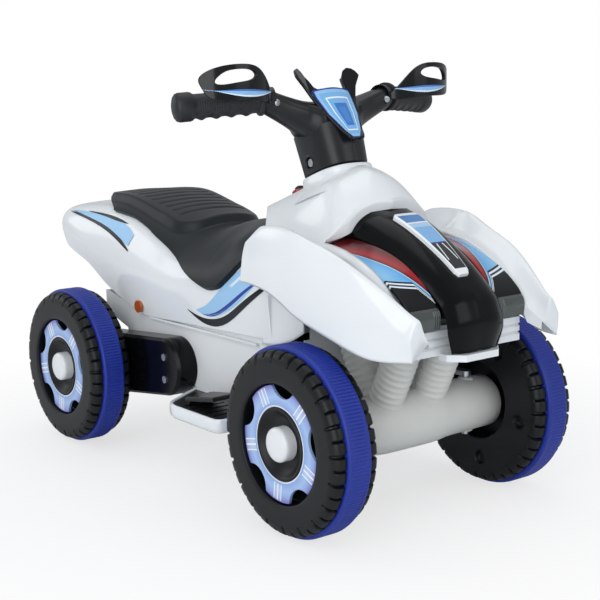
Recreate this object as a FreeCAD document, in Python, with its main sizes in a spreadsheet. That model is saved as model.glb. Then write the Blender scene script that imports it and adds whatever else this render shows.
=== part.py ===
import FreeCAD, Part
import math
import os
import re
import Sketcher
from FreeCAD import Placement, Rotation, Vector

# Kids quad bike: a battery ride-on with a moulded white body, seat, handlebar and four banded wheels.
# Millimetres. +X is forward, +Y the rider's left, +Z up. The origin is on the floor under the middle.

SIZES = {
    # Wheels and where they stand
    "front_axle_x": 286, "wheelbase": 548, "wheel_radius": 115, "wheel_width": 64, "wheel_face_y": 194,
    "shoulder_radius": 110, "shoulder_bevel": 5, "band_inset": 15, "band_width": 33, "band_depth": 11,
    "band_bevel": 3, "band_clearance": 0.1, "rim_radius": 72, "rim_depth": 26, "trim_seat_depth": 8,
    "trim_thickness": 3.5, "trim_radius": 70, "trim_hole_radius": 44, "trim_land": 5, "trim_clearance": 0.2,
    "scallop_radius": 24, "scallop_centre": 80, "spoke_count": 5, "spoke_phase": 48, "dish_depth": 14, "dish_lip": 3,
    "hub_recess_radius": 52, "hub_recess_depth": 30, "cap_radius": 21, "cap_proud": 4.5,
    "lug_count": 24, "lug_depth": 5, "lug_gap": 7, 
    
    # Front axle, king pins and steering link
    "axle_radius": 6, "running_gap": 0.05, "axle_end_inset": 14.2, "beam_end_radius": 34, "beam_mid_radius": 38,
    "beam_half_length": 147, "beam_wall": 7, "beam_bore_depth": 55, "beam_drop": 3, "beam_belly": 74,
    "kingpin_y": 112, "kingpin_radius": 5, "kingpin_boss": 10, "kingpin_reach": 6, "knuckle_radius": 11,
    "arm_length": 50, "arm_width": 14, "arm_thickness": 6, "arm_lift": 2, "link_pin_radius": 3,
    "link_thickness": 6, "link_gap": 1, "crank_hole_gap": 1,
    # Dummy spring legs between the beam and the front deck
    "leg_y": 36, "leg_radius": 19, "leg_rib": 3.5, "leg_rib_count": 5, "leg_lean": 26,
    "leg_length": 130, "deck_z": 222, "deck_thickness": 4, "deck_half_width": 62, "deck_front_x": 379,
    # Steering axis: raked back, through a point on the flat top of the dome
    "steer_x": 168, "steer_z": 404, "steer_rake": 19, "shaft_radius": 6, "shaft_foot": 276, "shaft_top": 78,
    "shaft_boss": 9, "shaft_boss_length": 18, "crank_up": 28, "dome_gap": 0.8, "collar_rise": 10, "collar_rim": 4, "deck_hole_radius": 16,
    # Column cover and handlebar
    "cover_length": 84, "cover_width": 70, "cover_top_length": 88, "cover_top_width": 78, "cover_height": 66,
    "cover_corner": 30, "bar_rise": 76, "bar_setback": 2, "bar_depth": 40, "bar_height": 27, "arm_root_y": 45,
    "arm_root_depth": 24, "arm_root_height": 21, "grip_y": 100, "grip_x": 144, "grip_z": 507,
    "bar_end_radius": 15, "grip_length": 114, "grip_sweep": 20, "grip_droop": 3.5, "grip_radius": 15,
    "grip_flange": 19, "grip_bulb": 18, "rod_radius": 10, "rod_length": 96, "grip_clearance": 0.1,
    
    # Hand guards and visor
    "guard_inner_y": 95, "guard_outer_y": 202, "guard_low_z": 508, "guard_top_z": 551, "guard_arc": 72,
    "guard_x": 182, "guard_middle_y": 148, "guard_wall": 5, "guard_boss": 6, "visor_foot_x": 214,
    "visor_foot_z": 464, "visor_slope": 38, "visor_height": 78, "visor_foot_half": 11, "visor_half": 27,
    "visor_ear": 112, "visor_ear_y": 40, "visor_ear_half": 12, "visor_curve": 90, "visor_wall": 4,
    # Body shells
    "wall": 3.5, "seat_gap": 0.5, "seat_skin": 7, "cushion_rise": 13, 
    "cushion_front_x": -118, "seat_rear_x": -336, "seat_front_x": 136, "rib_count": 9, "rib_depth": 3,
    "rib_pitch": 21, "rib_first_x": -296, "rib_half_length": 60, "vee_x": 17, "vee_spread": 1.26,
    "panel_gap": 1.0, "hood_open_y": 92, "hood_open_x": 262, "lip_x": 272, "button_x": 84, "button_radius": 8,
    "button_proud": 7, "button_flange": 11, "button_gap": 0.4, "button_travel": 3, "lever_x": 62, "lever_y": 24,
    "lever_length": 26, "lever_width": 12, "lever_base": 9,
    # Hood spine, badge plate, lamps and bumper
    "spine_wall": 4, "lamp_wall": 4, "lamp_outer_y": 91.5, "plate_rear_half": 21, "plate_front_half": 10,
    "plate_rear_x": 292, "plate_front_x": 393, "plate_thickness": 5, "plate_gap": 0.3, "bumper_half_width": 90,
    "bumper_top": 246, "bumper_low": 217, "bumper_front_x": 399, "bumper_depth": 20, "groove_depth": 2.5,
    "groove_width": 4, "lip_front_x": 426, "lip_half_width": 42, "lip_thickness": 8, "lip_corner": 16,
    # Lower chassis, footrests and pedal
    "tub_half_width": 96, "tub_wall": 4, "tub_floor_z": 92, "tub_front_x": 186, "tub_rear_x": "=front_axle_x - wheelbase + 40",
    "tub_tail_x": "=front_axle_x - wheelbase - 23", "tub_tail_z": 186, "tub_corner_x": 120, "tub_nose_half": 70, "rim_flange": 6,
    "rim_gap": 0.3, "tray_outer_y": 178, "tray_rear_x": -38, "tray_tip_x": 16, "tray_front_x": 138, "tray_low": 90,
    "tray_depth": 20, "tray_well": 6, "tray_rim": 5, "mat_thickness": 4, "mat_gap": 0.5, "mat_ribs": 6,
    "pedal_length": 62, "pedal_width": 46, "pedal_thickness": 6, "pedal_lift": 5, "pedal_tilt": 9,
    # Gear pods, gears, motor, battery
    "pod_inner_y": 96.2, "pod_split_y": 112, "pod_outer_y": 127, "pod_rear_radius": 46, "pod_front_radius": 41,
    "pod_front_x": -72, "pod_front_z": 136, "pod_wall": 3, "gear_module": 1.5, "pinion_teeth": 12,
    "wheel_teeth": 44, "small_teeth": 14, "output_teeth": 48, "gear_width": 7, "gear_backlash": 0.5,
    "first_gear_y": 99.7, "second_gear_y": 107.7, "output_angle": 10, "motor_angle": 4, "output_hub": 14, "hub_gap": 0.3,
    "gear_pin": 3, "motor_radius": 18, "motor_length": 50, "motor_shaft": 2, "screw_head": 5,
    "screw_rise": 2, "battery_length": 151, "battery_width": 65, "battery_height": 92,
    "battery_x": -60, "reflector_radius": 9, "reflector_x": -168, "reflector_z": 208, "reflector_proud": 4,
}

# Cross-sections of the rear shell from the tail forward: station, then height at the middle,
# and the shoulder, the crease and the lower edge, each as distance from the middle and height.
BODY = {
    "tail_end": (-434, 326, 58, 320, 70, 308, 60, 296),
    "tail_round": (-426, 336, 76, 329, 90, 310, 84, 284),
    "tail": (-405, 344, 86, 336, 102, 312, 95, 276),
    "haunch": (-335, 346, 90, 340, 109, 298, 100, 257),
    "hip": (-262, 350, 92, 338, 110, 282, 101, 224),
    "cushion": (-150, 336, 92, 312, 109, 264, 102, 196),
    "waist": (-60, 321, 90, 288, 106, 252, 102, 199),
    "dip": (10, 336, 92, 290, 106, 252, 102, 201.33),
    "dash": (80, 343, 92, 314, 107, 262, 102, 203.67),
    "bulkhead": (150, 334, 90, 308, 105, 262, 101, 206),
}
BODY_COLUMNS = ("x", "top", "shoulder_y", "shoulder_z", "crease_y", "crease_z", "edge_y", "edge_z")

# Cross-sections of the front cowl: height at the middle, then the flank of the dome or hood,
# the valley, the fender's crest and its lower edge.
COWL = {
    "sill": (12, 350, 46, 344, 88, 336, 128, 330, 134, 268),
    "neck_rear": (100, 386, 46, 373, 92, 344, 134, 346, 141, 268),
    "neck": (165, 413, 54, 386, 96, 341, 143, 353, 147, 276),
    "crown": (215, 426, 58, 393, 98, 338, 149, 361, 151, 272),
    "brow": (250, 410, 60, 377, 102, 337, 149, 360, 151, 258),
    "lip": (272, 384, 62, 358, 106, 335, 149, 353, 151, 250),
    "arch": (300, 350, 64, 341, 114, 329, 149, 342, 151, 246),
    "slope": (345, 328, 66, 322, 118, 305, 146, 318, 149, 237),
    "front": (395, 300, 80, 270, 108, 276, 131, 286, 134, 222),
    "tip": (434, 236, 80, 232, 99, 252, 115, 264, 115, 225),
}
COWL_COLUMNS = ("x", "top", "flank_y", "flank_z", "valley_y", "valley_z", "crest_y", "crest_z", "edge_y", "edge_z")

# Stations along the hood's black spine and along a lamp panel: x, height, half width or inner edge,
# crown of the arch, and the slope of the path in degrees.
SPINE = {
    "spine_root": (262, 374, 57, 24, 22), "spine_back": (300, 362, 53, 22, 27), "spine_mid": (350, 335, 48.5, 18, 33),
    "spine_low": (393, 303, 46.5, 14, 40), "spine_brow": (417, 276, 45.5, 11, 62),
    "spine_nose": (424, 250, 45, 9, 88), "spine_foot": (420, 219.5, 36, 7, 98),
}
LAMP = {
    "lamp_root": (256, 333, 57, 0, 6), "lamp_back": (300, 327, 54.5, 0, 14), "lamp_mid": (348, 311, 50.5, 0, 26),
    "lamp_low": (384, 290, 48.5, 0, 38), "lamp_brow": (400, 274, 47.5, 0, 62), "lamp_lens": (404.5, 262, 47, 0, 86),
    "lamp_foot": (403, 248.5, 47, 0, 97),
}
PATH_COLUMNS = ("x", "z", "half", "crown", "slope")

for rows, columns in ((BODY, BODY_COLUMNS), (COWL, COWL_COLUMNS), (SPINE, PATH_COLUMNS), (LAMP, PATH_COLUMNS)):
    for station, numbers in rows.items():
        for column, number in zip(columns, numbers):
            SIZES[station + "_" + column] = number

doc = FreeCAD.newDocument("kids_quad")
sheet = doc.addObject("Spreadsheet::Sheet", "d")
for row, (alias, number) in enumerate(SIZES.items(), 1):
    sheet.set(f"A{row}", alias)
    sheet.set(f"B{row}", str(number))
    sheet.setAlias(f"B{row}", alias)
doc.recompute()

WORD = re.compile(r"[a-z][a-z_0-9]*")
sub_parts = []


def size(expression):
    """Value of an expression in the sheet's aliases."""
    return float(sheet.evalExpression(str(expression)))


def bind(thing, prop, expression):
    """Tie a property to the sheet, with each alias written as the sheet's own."""
    thing.setExpression(prop, WORD.sub(lambda w: "d." + w.group() if w.group() in SIZES else w.group(), str(expression)))


def place(thing, x="0", y="0", z="0", turn=None):
    """Set a piece down at a point whose coordinates are tied to the sheet."""
    thing.Placement = Placement(Vector(size(x), size(y), size(z)), turn or Rotation())
    for axis, expression in zip("xyz", (x, y, z)):
        bind(thing, f".Placement.Base.{axis}", expression)
    return thing


def sub_part(thing, label):
    """Name a finished piece, which is written out under that name."""
    thing.Label = label
    sub_parts.append(thing)
    return thing


def solid_part(label, shape, placement=None):
    """A finished piece whose shape is worked out with Part's own functions."""
    piece = doc.addObject("Part::Feature", label)
    piece.Shape = shape
    if placement:
        piece.Placement = placement
    return sub_part(piece, label)


def plane(body, role):
    """One of a body's own origin planes or axes."""
    return [f for f in body.Origin.OriginFeatures if f.Role == role][0]


def outline(sketch, points):
    """A closed outline of straight lines through points given as pairs of expressions, all zero or more."""
    numbers = [Vector(size(a), size(b), 0) for a, b in points]
    for start, end in zip(numbers, numbers[1:] + numbers[:1]):
        sketch.addGeometry(Part.LineSegment(start, end), False)
    count = len(points)
    for i in range(count):
        sketch.addConstraint(Sketcher.Constraint("Coincident", i, 2, (i + 1) % count, 1))
    for i, (a, b) in enumerate(points):
        for kind, expression, axis in (("DistanceX", a, -2), ("DistanceY", b, -1)):
            if size(expression) == 0:
                sketch.addConstraint(Sketcher.Constraint("PointOnObject", i, 1, axis))
            else:
                number = sketch.addConstraint(Sketcher.Constraint(kind, -1, 1, i, 1, size(expression)))
                bind(sketch, f"Constraints[{number}]", expression)


def sketch_on(body, role, name, points, offset="0"):
    """A sketch on one of the body's planes, moved along its normal."""
    sketch = body.newObject("Sketcher::SketchObject", name)
    sketch.AttachmentSupport = [(plane(body, role), "")]
    sketch.MapMode = "FlatFace"
    sketch.AttachmentOffset = Placement(Vector(0, 0, size(offset)), Rotation())
    bind(sketch, ".AttachmentOffset.Base.z", offset)
    outline(sketch, points)
    return sketch


def turned(name, points):
    """A body of revolution about its own X axis, from an outline of (along, radius) points."""
    body = doc.addObject("PartDesign::Body", name)
    profile = sketch_on(body, "XY_Plane", name + "_profile", points)
    turn = body.newObject("PartDesign::Revolution", name + "_turn")
    turn.Profile = profile
    turn.ReferenceAxis = (profile, ["H_Axis"])
    turn.Angle = 360
    return body


def padded(body, role, name, points, length, offset="0", both_ways=False):
    """A pad of an outline, added to a body."""
    pad = body.newObject("PartDesign::Pad", name)
    pad.Profile = sketch_on(body, role, name + "_outline", points, offset)
    pad.Midplane = both_ways
    bind(pad, "Length", length)
    return pad


def pocketed(body, role, name, points, length, offset="0", backwards=False, both_ways=False):
    """A pocket of an outline, taken out of a body."""
    pocket = body.newObject("PartDesign::Pocket", name)
    pocket.Profile = sketch_on(body, role, name + "_outline", points, offset)
    pocket.Midplane = both_ways
    pocket.Reversed = backwards
    bind(pocket, "Length", length)
    return pocket


def cylinder(radius, length, x="0", y="0", z="0", along="z", turn=None):
    """A cylinder from a point, along an axis of the frame or turned freely."""
    piece = doc.addObject("Part::Cylinder", "round")
    bind(piece, "Radius", radius)
    bind(piece, "Height", length)
    turns = {"z": Rotation(), "x": Rotation(Vector(0, 1, 0), 90), "y": Rotation(Vector(1, 0, 0), -90),
             "-y": Rotation(Vector(1, 0, 0), 90)}
    return place(piece, x, y, z, turn or turns[along])


def block(length, width, height, x="0", y="0", z="0", turn=None):
    """A box from its low corner."""
    piece = doc.addObject("Part::Box", "block")
    bind(piece, "Length", length)
    bind(piece, "Width", width)
    bind(piece, "Height", height)
    return place(piece, x, y, z, turn)


def fused(pieces):
    piece = doc.addObject("Part::MultiFuse", "joined")
    piece.Shapes = pieces
    piece.Refine = True
    return piece


def cut(base, tools):
    piece = doc.addObject("Part::Cut", "cut")
    piece.Base = base
    piece.Tool = tools[0] if len(tools) == 1 else fused(tools)
    return piece


def steady(xs, ys, x):
    """Smooth interpolation that never swings past the given values."""
    slopes = [(b - a) / (v - u) for u, v, a, b in zip(xs, xs[1:], ys, ys[1:])]
    tangents = [slopes[0]]
    for before, after in zip(slopes, slopes[1:]):
        tangents.append(0.0 if before * after <= 0 else 2 * before * after / (before + after))
    tangents.append(slopes[-1])
    i = max(k for k in range(len(slopes)) if k == 0 or x >= xs[k])
    step = xs[i + 1] - xs[i]
    t = (x - xs[i]) / step
    return (ys[i] * (1 + 2 * t) * (1 - t) ** 2 + ys[i + 1] * t * t * (3 - 2 * t)
            + step * (tangents[i] * t * (1 - t) ** 2 - tangents[i + 1] * t * t * (1 - t)))


def row_at(rows, columns, x):
    """All the columns of a table of sections at one place along the bike."""
    stations = [size(name + "_x") for name in rows]
    return [steady(stations, [size(f"{name}_{column}") for name in rows], x) for column in columns[1:]]


def places(start, end, count):
    """Evenly spaced numbers, ends included."""
    return [start + (end - start) * i / (count - 1) for i in range(count)]


def smooth(points, per_span=2):
    """More points on a smooth curve through a few, as many in every span."""
    stops = [0.0]
    for a, b in zip(points, points[1:]):
        stops.append(stops[-1] + math.sqrt(a.distanceToPoint(b)))
    curve = Part.BSplineCurve()
    curve.interpolate(Points=points, Parameters=stops)
    samples = [curve.value(a + (b - a) * k / per_span) for a, b in zip(stops, stops[1:]) for k in range(per_span)]
    return samples + [points[-1]]


def facet_solid(rings, back=None):
    """A solid skinned with flat facets between closed rings of points, its two ends flat.

    From the point numbered back on, the ring runs back along the inside of a wall, and the facets there
    are split the other way, so that the two skins stay parallel."""
    faces = []
    for a, b in zip(rings, rings[1:]):
        for k in range(len(a)):
            n = (k + 1) % len(a)
            outside = ((a[k], a[n], b[n]), (a[k], b[n], b[k]))
            inside = ((a[k], a[n], b[k]), (a[n], b[n], b[k]))
            for corners in outside if back is None or k < back else inside:
                faces.append(Part.Face(Part.makePolygon([*corners, corners[0]])))
    for ring in (rings[0], rings[-1]):
        faces.append(Part.Face(Part.makePolygon(ring + ring[:1])))
    shell = Part.makeShell(faces)
    shell.sewShape()
    solid = Part.makeSolid(shell)
    return Part.makeSolid(shell.reversed()) if solid.Orientation == "Reversed" else solid


def thin_shell(outer, inner):
    """A solid between two skins through the same number of section points."""
    return facet_solid([a + list(reversed(b)) for a, b in zip(outer, inner)], len(outer[0]))


def turned_facets(profile, sides):
    """A many-sided turned solid about the local X axis, from (along, radius) points in order."""
    turns = [2 * math.pi * (i + 0.5) / sides for i in range(sides)]
    return facet_solid([[Vector(x, r * math.cos(a), r * math.sin(a)) for a in turns] for x, r in profile])


def height_at(section, y):
    """Height of a section at a distance from the middle."""
    for a, b in zip(section, section[1:]):
        if a.y <= y <= b.y and b.y > a.y:
            return a.z + (b.z - a.z) * (y - a.y) / (b.y - a.y)


def side_at(section, z):
    """Distance from the middle of a section's side wall at a height, found from its lower edge up."""
    for a, b in zip(section, section[1:]):
        if a.z <= z <= b.z:
            return -a.y - (b.y - a.y) * (z - a.z) / (b.z - a.z)


def moved(section, x):
    """A section moved along the bike."""
    return [p + Vector(x, 0, 0) for p in section]


def whole(half):
    """A full section from its right half, lower edge first, with the middle point last."""
    return half + [Vector(p.x, -p.y, p.z) for p in reversed(half[:-1])]


def prism(points, direction):
    """A straight prism of a closed outline of points."""
    return Part.Face(Part.makePolygon(points + points[:1])).extrude(direction)


# Wheels: one black moulding with lugs on both shoulders, a blue band in its groove,
# a star-shaped trim in the rim and a white cap over the axle. The axle is the local X axis, inner face at 0.
def make_wheel():
    groove_radius = "wheel_radius - band_depth"
    groove_start = "wheel_width - band_inset - band_width"
    groove_end = "wheel_width - band_inset"
    seat = "wheel_width - trim_seat_depth"
    lip = f"{seat} + trim_thickness + 0.5"
    bore = "axle_radius + running_gap"
    body = turned("wheel", [
        ("hub_recess_depth", bore), ("hub_recess_depth", "hub_recess_radius"), ("0", "hub_recess_radius"),
        ("0", "shoulder_radius - shoulder_bevel"), ("shoulder_bevel", "shoulder_radius"),
        (groove_start, "shoulder_radius"), (groove_start, groove_radius), (groove_end, groove_radius),
        (groove_end, "shoulder_radius"), ("wheel_width - shoulder_bevel", "shoulder_radius"),
        ("wheel_width", "shoulder_radius - shoulder_bevel"), ("wheel_width", "rim_radius"),
        ("wheel_width - rim_depth", "rim_radius"), ("wheel_width - rim_depth", "trim_hole_radius + trim_land"),
        (seat, "trim_hole_radius + trim_land"), (seat, "trim_hole_radius - trim_clearance"),
        (lip, "trim_hole_radius - trim_clearance"), ("wheel_width - dish_depth", "cap_radius + dish_lip"),
        ("wheel_width - dish_depth", bore)])
    notch = [("0", "shoulder_radius - lug_depth"), ("lug_gap", "shoulder_radius - lug_depth"),
             ("lug_gap", "shoulder_radius + lug_depth"), ("0", "shoulder_radius + lug_depth")]
    outer = pocketed(body, "YZ_Plane", "outer_notch", notch, "band_inset", "wheel_width")
    inner = pocketed(body, "YZ_Plane", "inner_notch", notch, groove_start, "0", backwards=True)
    lugs = body.newObject("PartDesign::PolarPattern", "lugs")
    lugs.Originals = [outer, inner]
    lugs.Axis = (plane(body, "X_Axis"), [""])
    lugs.Angle = 360
    bind(lugs, "Occurrences", "lug_count")
    body.Tip = lugs
    return body


def make_band():
    inner = "wheel_radius - band_depth + band_clearance"
    start = "wheel_width - band_inset - band_width + band_clearance"
    end = "wheel_width - band_inset - band_clearance"
    return turned("band", [
        (start, inner), (start, "wheel_radius - band_bevel"), (start + " + band_bevel", "wheel_radius"),
        (end + " - band_bevel", "wheel_radius"), (end, "wheel_radius - band_bevel"), (end, inner)])


def make_trim():
    seat = "wheel_width - trim_seat_depth"
    disc = cylinder("trim_radius", "trim_thickness", seat, "0", "0", "x")
    tools = [cylinder("trim_hole_radius", "trim_thickness + 2", seat + " - 1", "0", "0", "x")]
    for i in range(int(size("spoke_count"))):
        angle = f"(360 / spoke_count * {i} + 180 / spoke_count + spoke_phase)"
        tools.append(cylinder("scallop_radius", "trim_thickness + 2", seat + " - 1",
                              f"scallop_centre * cos({angle})", f"scallop_centre * sin({angle})", "x"))
    return cut(disc, tools)


def make_cap():
    foot = "wheel_width - dish_depth"
    crown = "wheel_width + cap_proud"
    return turned("cap", [(foot, "0"), (foot, "cap_radius"), (crown + " - 5", "cap_radius"), (crown, "cap_radius - 12"),
                          (crown, "0")])


WHEELS = {"front_right": ("front_axle_x", -1), "front_left": ("front_axle_x", 1),
          "rear_right": ("front_axle_x - wheelbase", -1), "rear_left": ("front_axle_x - wheelbase", 1)}
pieces = {"wheel": make_wheel(), "band": make_band(), "trim": make_trim(), "cap": make_cap()}
for corner, (x, side) in WHEELS.items():
    for kind, original in pieces.items():
        link = doc.addObject("App::Link", kind + "_" + corner)
        link.LinkedObject = original
        link.LinkTransform = False
        place(link, x, f"{side} * (wheel_face_y - wheel_width)", "wheel_radius", Rotation(Vector(0, 0, 1), 90 * side))
        sub_part(link, kind + "_" + corner)

# Steering axis, raked back, as a rotation that turns the local Z axis onto it.
rake = Rotation(Vector(0, 1, 0), -size("steer_rake"))
up_axis = rake.multVec(Vector(0, 0, 1))
steer_point = Vector(size("steer_x"), 0, size("steer_z"))


def on_axis(distance):
    """A point on the steering axis, measured up from the dome, as expressions."""
    return (f"steer_x - sin(steer_rake) * ({distance})", "0", f"steer_z + cos(steer_rake) * ({distance})")


# Front axle beam: a barrel across the bike with open ends for the stub axles, four ribbed dummy
# spring legs up to the front deck, a boss for the steering shaft and bosses for the king pins.
beam_z = "wheel_radius - beam_drop"
total = "2 * beam_half_length"
bore = "beam_end_radius - beam_wall"
barrel = doc.addObject("Part::Feature", "barrel")
barrel.Shape = turned_facets([(size(x), size(r)) for x, r in (
    ("0", "beam_end_radius - 4"), ("4", "beam_end_radius"), ("beam_belly", "beam_end_radius + 1"),
    ("beam_belly + 36", "beam_mid_radius"), (f"{total} - beam_belly - 36", "beam_mid_radius"),
    (f"{total} - beam_belly", "beam_end_radius + 1"), (f"{total} - 4", "beam_end_radius"),
    (total, "beam_end_radius - 4"))], 32)
place(barrel, "front_axle_x", "-beam_half_length", beam_z, Rotation(Vector(0, 0, 1), 90))
pitch = size("leg_length / (leg_rib_count + 1)")
slim, fat = size("leg_radius"), size("leg_radius + leg_rib")
ribs = [(0, slim)]
for i in range(int(size("leg_rib_count"))):
    ribs += [(pitch * (i + share), radius) for share, radius in ((0.6, slim), (0.85, fat), (1.15, fat), (1.4, slim))]
ribs += [(size("leg_length"), slim)]
legs = []
for forward in (1, -1):
    for side in (1, -1):
        leg = doc.addObject("Part::Feature", "leg")
        leg.Shape = turned_facets(ribs, 16)
        lean = Rotation(Vector(0, 1, 0), -90 + forward * size("leg_lean"))
        legs.append(place(leg, "front_axle_x", f"{side} * leg_y", f"{beam_z} + 8", lean))
boss = cylinder("shaft_boss", "shaft_boss_length + 24", *on_axis("-shaft_foot - 22"), turn=rake)
bosses = [cylinder("kingpin_boss", "2 * (beam_end_radius + arm_lift)", "front_axle_x", f"{side} * kingpin_y",
                   f"{beam_z} - beam_end_radius - arm_lift") for side in (1, -1)]
above_deck = block("300", "200", "200", "front_axle_x - 150", "-100", "deck_z")
shaft_bore = cylinder("shaft_radius + running_gap", "shaft_boss_length + 40", *on_axis("-shaft_foot"), turn=rake)
pin_bores = [cylinder("kingpin_radius + running_gap", "2 * wheel_radius", "front_axle_x", f"{side} * kingpin_y", "5")
             for side in (1, -1)]
end_bores = [cylinder(bore, "beam_bore_depth + 1", "front_axle_x", "-beam_half_length - 1", beam_z, "y"),
             cylinder(bore, "beam_bore_depth + 1", "front_axle_x", "beam_half_length + 1", beam_z, "-y")]
beam = cut(fused([barrel, boss] + legs + bosses), [above_deck, shaft_bore] + pin_bores + end_bores)
sub_part(beam, "front_axle_beam")

# Stub axles: a steel axle square to an upright king pin, with a steering arm on top that reaches back
# to the tie rod. The tie rod hangs under the arms and has a yoke for the crank pin of the steering shaft.
arm_z = f"{beam_z} + beam_end_radius + 2 * arm_lift"
link_z = f"{arm_z} - link_gap - link_thickness"
link_x = "front_axle_x - arm_length"
for name, side in (("right", -1), ("left", 1)):
    along = "y" if side > 0 else "-y"
    stub = cylinder("axle_radius", "wheel_face_y - axle_end_inset - kingpin_y", "front_axle_x", f"{side} * kingpin_y",
                    "wheel_radius", along)
    knuckle = cylinder("knuckle_radius", "4 * axle_radius", "front_axle_x", f"{side} * kingpin_y",
                       "wheel_radius - 2 * axle_radius")
    pin = cylinder("kingpin_radius", f"{arm_z} + arm_thickness - ({beam_z} - beam_end_radius - kingpin_reach)",
                   "front_axle_x", f"{side} * kingpin_y", f"{beam_z} - beam_end_radius - kingpin_reach")
    arm = block("arm_length", "arm_width", "arm_thickness", link_x, f"{side} * kingpin_y - arm_width / 2", arm_z)
    eyes = [cylinder("arm_width / 2", "arm_thickness", x, f"{side} * kingpin_y", arm_z)
            for x in (link_x, "front_axle_x")]
    peg = cylinder("link_pin_radius", "link_gap + link_thickness + 3", link_x, f"{side} * kingpin_y", f"{link_z} - 3")
    sub_part(fused([stub, knuckle, pin, arm, peg] + eyes), "stub_axle_" + name)

crank_pin_x, _, crank_pin_z = on_axis("-shaft_foot + crank_up")
crank_pin_x = f"({crank_pin_x} - cos(steer_rake) * arm_length)"
bar = block("arm_width", "2 * kingpin_y", "link_thickness", f"{link_x} - arm_width / 2", "-kingpin_y", link_z)
ends = [cylinder("arm_width / 2", "link_thickness", link_x, f"{side} * kingpin_y", link_z) for side in (1, -1)]
eye_x = (f"({crank_pin_x} + tan(steer_rake) * ({crank_pin_z} - sin(steer_rake) * arm_length"
         f" - ({link_z}) - link_thickness / 2))")
yoke = block(f"{link_x} - {eye_x}", "arm_width + 4", "link_thickness", eye_x, "-arm_width / 2 - 2", link_z)
eye = cylinder("arm_width / 2 + 2", "link_thickness", eye_x, "0", link_z)
eye_bore = cylinder("link_pin_radius + crank_hole_gap", "80", f"{eye_x} + sin(steer_rake) * 30", "0",
                    f"{link_z} + link_thickness / 2 - cos(steer_rake) * 30", turn=rake)
peg_bores = [cylinder("link_pin_radius + running_gap", "3 * link_thickness", link_x, f"{side} * kingpin_y",
                      f"{link_z} - link_thickness") for side in (1, -1)]
sub_part(cut(fused([bar, yoke, eye] + ends), [eye_bore] + peg_bores), "tie_rod")

# Steering shaft: a steel rod from its boss on the beam up through the dome, with a crank welded on near its foot.
rod = cylinder("shaft_radius", "shaft_foot + shaft_top", *on_axis("-shaft_foot + 1"), turn=rake)
crank_foot = Vector(*[size(e) for e in on_axis("-shaft_foot + crank_up")])
crank_back = rake.multVec(Vector(-size("arm_length"), 0, 0))
crank_end = crank_foot + crank_back
crank = block("arm_length", "arm_width", "arm_thickness", str(crank_end.x), "-arm_width / 2", str(crank_end.z), rake)
collar = cylinder("shaft_radius + 4", "arm_thickness", *on_axis("-shaft_foot + crank_up"), turn=rake)
crank_eye = cylinder("arm_width / 2", "arm_thickness", str(crank_end.x), "0", str(crank_end.z), turn=rake)
pin_length = (size(crank_pin_z) - math.sin(math.radians(size("steer_rake"))) * size("arm_length") - size(link_z)) + 4
pin_foot = crank_end - up_axis * (pin_length - 0.5)
crank_pin = cylinder("link_pin_radius", str(pin_length), str(pin_foot.x), "0", str(pin_foot.z), turn=rake)
sub_part(fused([rod, crank, collar, crank_eye, crank_pin]), "steering_shaft")


# Rear shell: lofted outside and inside through the sections, with a closed tail and an open belly.
def body_section(x, out=0.0, top_out=None):
    """A section of the body at x, moved outwards; the top may be moved by another amount."""
    top, sy, sz, cy, cz, ey, ez = row_at(BODY, BODY_COLUMNS, x)
    top_out = out if top_out is None else top_out
    return smooth(whole([
        Vector(x, -ey - out, ez), Vector(x, -cy - out, (2 * cz + ez) / 3), Vector(x, -cy - out, cz + 6 + out),
        Vector(x, -sy - 0.6 * out, sz + 0.7 * out), Vector(x, -0.55 * sy, top - 0.22 * (top - sz) + top_out),
        Vector(x, 0, top + top_out)]))


def stretched(section, drop):
    """The same section with its lower edge moved down and its top left where it is."""
    low = section[0].z
    top = max(p.z for p in section)
    return [p - Vector(0, 0, drop * (top - p.z) / (top - low)) for p in section]


wall = size("wall")
tail_x, bulkhead_x = size("tail_end_x"), size("bulkhead_x")
tail_places = places(tail_x, tail_x + 32, 5)[:-1]
shell_places = tail_places + places(tail_x + 32, bulkhead_x, 17)
outer_body = facet_solid([body_section(x) for x in shell_places])
inner_sections = []
for x in places(tail_x + 3 * wall, bulkhead_x - wall, 16):
    closed = max(0.0, min(1.0, (size("hip_x") + 40 - x) / 40))
    inner_sections.append(stretched(body_section(x, -wall), 2 * wall - 3 * wall * closed))
solid_part("rear_shell", outer_body.cut(facet_solid(inner_sections)))

# Seat: a moulded saddle that lies on the shell, thicker and ribbed under the rider, with a flap down each side.
# Its edge is trimmed to one smooth line in side view, and its front to the cowl's slanted edge.
skin = size("seat_skin")


def cushion_rise(x):
    """Extra height of the padded part: full between its ends, fading over 40 mm."""
    ends = min(x - size("seat_rear_x"), size("cushion_front_x") + 40 - x) / 40
    return size("cushion_rise") * max(0.0, min(1.0, ends))


seat_places = [x for x in shell_places if x > size("seat_rear_x") - 40]
seat_outer = [body_section(x, skin, skin + cushion_rise(x)) for x in seat_places]
seat_under = [body_section(x, size("seat_gap")) for x in seat_places]
edge_points = [("seat_rear_x - 20", 347), ("seat_rear_x + 34", 343), ("haunch_x + 95", 337), ("cushion_x - 16", 317),
               ("waist_x - 16", 283), ("waist_x + 52", 258), ("dip_x + 4", 254), ("dip_x + 28", 262),
               ("dip_x + 60", 281), ("dip_x + 92", 307), ("seat_front_x", 338)]
edge = smooth([Vector(size(x), -200, z) for x, z in edge_points])
high = [Vector(size("seat_front_x"), -200, 450), Vector(size("seat_rear_x - 20"), -200, 450)]
side_trim = prism(edge + high, Vector(0, 400, 0))
rear_round = [(101, -130), (81, -92), (56, -81), (33, -69), (14, -49), (3, -25), (0, 0)]
rear_half = [Vector(size("seat_rear_x") + x, y, 0) for x, y in rear_round]
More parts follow.
